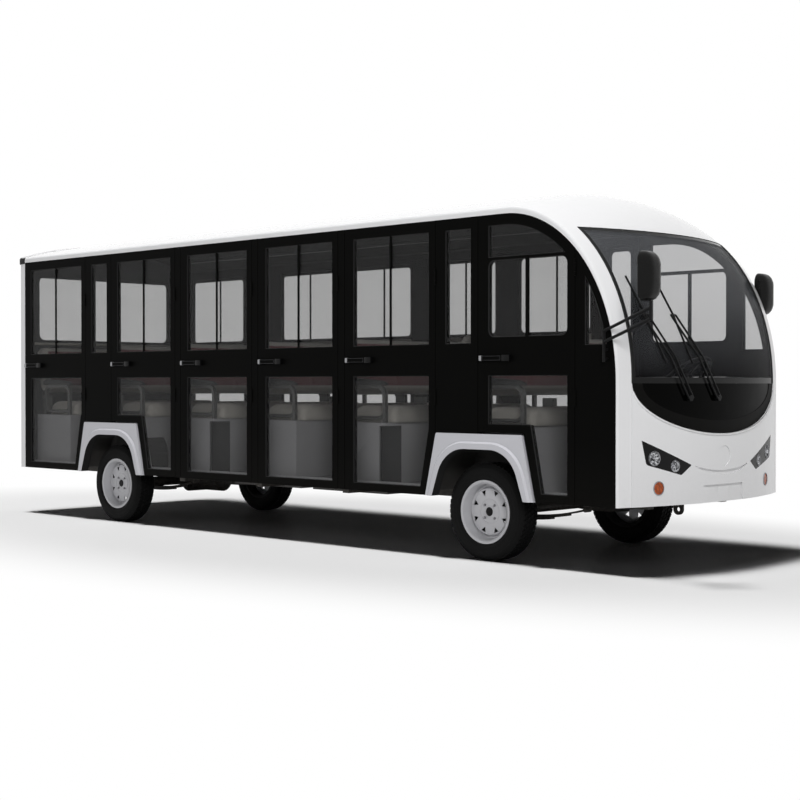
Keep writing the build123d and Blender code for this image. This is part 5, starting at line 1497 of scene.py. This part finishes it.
# %% Backs
BACK_LEAN = math.radians(10)
BACK_BORDER = 0.060
BACK_THICK = 0.095
BACK_LIFT = 0.004
BACK_SHIFT = 0.97
low, high = back_rows[0]
size = high - low
tall = (size.z - BACK_LIFT) / math.cos(BACK_LEAN)
plan = rounded_plan(-size.y / 2 + PAD_INSET, size.y / 2 - PAD_INSET, PAD_INSET, tall - PAD_INSET, PAD_ROUND)
back = inflate(pad_block(plan, 0.0, BACK_THICK - 2 * PAD_INSET, 0.020), 0.010, CUSHION_CAP)
press_channels(back, size.y, 0)
border = back.attributes.new("border", "FLOAT", "POINT")
for index, vert in enumerate(back.vertices):
    inside = min(size.y / 2 - abs(vert.co.x), vert.co.y, tall - vert.co.y)
    border.data[index].value = 1.0 if inside < BACK_BORDER or vert.co.z < BACK_LIFT else 0.0
stand = Matrix(((0, 0, 1, 0), (1, 0, 0, 0), (0, 1, 0, 0), (0, 0, 0, 1)))
for number, (low, high) in enumerate(back_rows, start=1):
    foot = Matrix.Translation((high.x - BACK_THICK * BACK_SHIFT, 0, low.z + BACK_LIFT))
    place = foot @ Matrix.Rotation(-BACK_LEAN, 4, "Y") @ stand
    piece = bench_pad(f"seat_back_row_{number}", back, place, maroon_cover)
    if number == 1:
        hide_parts("seat_backs")
print("backs", len(back_rows))

# %% [markdown]
# ## Studio
# The photograph is a studio cut-out: white all round, with a dark soft-edged shadow under the car. One high
# lamp, a little behind and to the right, lights the roof and the floor and makes that shadow. A fill from the
# front right lights the side and, through the glass, the cabin, and another from the rear left does the same
# there. Light linking keeps the fills off the floor, so that they don't wash the shadow out, and gives the
# nose a steeper lamp of its own, which brings out its folds. Further out the floor turns into plain white by
# Light Path, which also gives glass and paint something white to show.

# %% Floor
FLOOR_SIZE = 60.0
FLOOR_NEAR, FLOOR_FAR = 1.75, 3.3
FLOOR_STRETCH = (0.50, 1.0, 0.0)
FLOOR_GLOSS = 0.006
FLOOR_WHITES = ((0.97, 0.97, 0.97, 1.0), (0.98, 0.98, 0.98, 1.0))
WHITE = (1, 1, 1, 1)
corners = [(x * FLOOR_SIZE, y * FLOOR_SIZE, 0) for x, y in ((-1, -1), (1, -1), (1, 1), (-1, 1))]
floor_mesh = new_mesh("studio_floor", corners, [(0, 1, 2, 3)])
floor = bpy.data.objects.new("studio_floor", floor_mesh)
scene.collection.objects.link(floor)
floor_finish, tree, shader, place = new_finish("studio_white", Specular_IOR_Level=0.0, Roughness=0.9)
feed(tree, shader, Base_Color=blend_colours(tree, noise(tree, place, 1.5, 3.0), *FLOOR_WHITES))


def background_rays(tree):
    """One for camera, glossy and transmission rays."""
    path = put(tree, "ShaderNodeLightPath")
    seen = combine(tree, path.outputs["Is Camera Ray"], path.outputs["Is Glossy Ray"], "MAXIMUM")
    return combine(tree, seen, path.outputs["Is Transmission Ray"], "MAXIMUM")


flat = put(tree, "ShaderNodeVectorMath", {0: place, 1: FLOOR_STRETCH}, operation="MULTIPLY").outputs[0]
reach = put(tree, "ShaderNodeVectorMath", {0: flat}, operation="LENGTH").outputs["Value"]
far = put(tree, "ShaderNodeMapRange", {"Value": reach, "From Min": FLOOR_NEAR, "From Max": FLOOR_FAR},
          interpolation_type="SMOOTHSTEP").outputs[0]
sheen = put(tree, "ShaderNodeBsdfGlossy", {"Color": WHITE, "Roughness": 0.06}).outputs[0]
polished = put(tree, "ShaderNodeMixShader", {0: FLOOR_GLOSS, 1: shader.outputs[0], 2: sheen}).outputs[0]
white = put(tree, "ShaderNodeEmission", {"Color": WHITE, "Strength": 1.0}).outputs[0]
outside = combine(tree, far, background_rays(tree), "MULTIPLY")
mixed = put(tree, "ShaderNodeMixShader", {0: outside, 1: polished, 2: white}).outputs[0]
tree.links.new(mixed, tree.nodes["Material Output"].inputs["Surface"])
floor_mesh.materials.append(floor_finish)
print("floor white beyond", FLOOR_FAR, "m")

# %% World and lamps
WORLD_FILL = 0.004
world = bpy.data.worlds.new("studio")
scene.world = world
world.use_nodes = True
tree = world.node_tree
backdrop = tree.nodes["Background"]
backdrop.inputs["Color"].default_value = WHITE
tree.links.new(between(tree, background_rays(tree), WORLD_FILL, 1.0), backdrop.inputs["Strength"])


def receivers(name, link_state, *lit):
    """A light-linking set: the objects a lamp lights alone, or skips."""
    chosen = bpy.data.collections.new(name)
    for thing in lit:
        chosen.objects.link(thing)
    for entry in chosen.collection_objects:
        entry.light_linking.link_state = link_state
    return chosen


off_floor = receivers("off_floor", "EXCLUDE", floor, skins["nose_panel"])
nose_alone = receivers("nose_alone", "INCLUDE", skins["nose_panel"])


def soft_lamp(name, place, target, size, power, linked=None):
    """A square area lamp aimed at a point."""
    lamp = bpy.data.objects.new(name, bpy.data.lights.new(name, "AREA"))
    scene.collection.objects.link(lamp)
    lamp.location = place
    lamp.rotation_euler = (Vector(target) - Vector(place)).to_track_quat("-Z", "Y").to_euler()
    lamp.data.size = size
    lamp.data.energy = power
    lamp.visible_camera = False
    lamp.visible_glossy = False
    if linked:
        lamp.light_linking.receiver_collection = linked


soft_lamp("overhead", (-3.2, -4.0, 30.0), (0.2, 0.1, 0.0), 4.5, 7000.0)
soft_lamp("front_fill", (11.5, -9.5, 6.5), (0.5, 0.0, 1.0), 4.0, 1120.0, off_floor)
soft_lamp("rear_fill", (-10.0, 11.0, 6.0), (-0.5, 0.0, 1.0), 7.0, 700.0, off_floor)
soft_lamp("nose_light", (7.5, -4.0, 7.5), (3.0, 0.0, 0.7), 2.0, 590.0, nose_alone)
scene.view_settings.view_transform = "Standard"
print("studio lit")
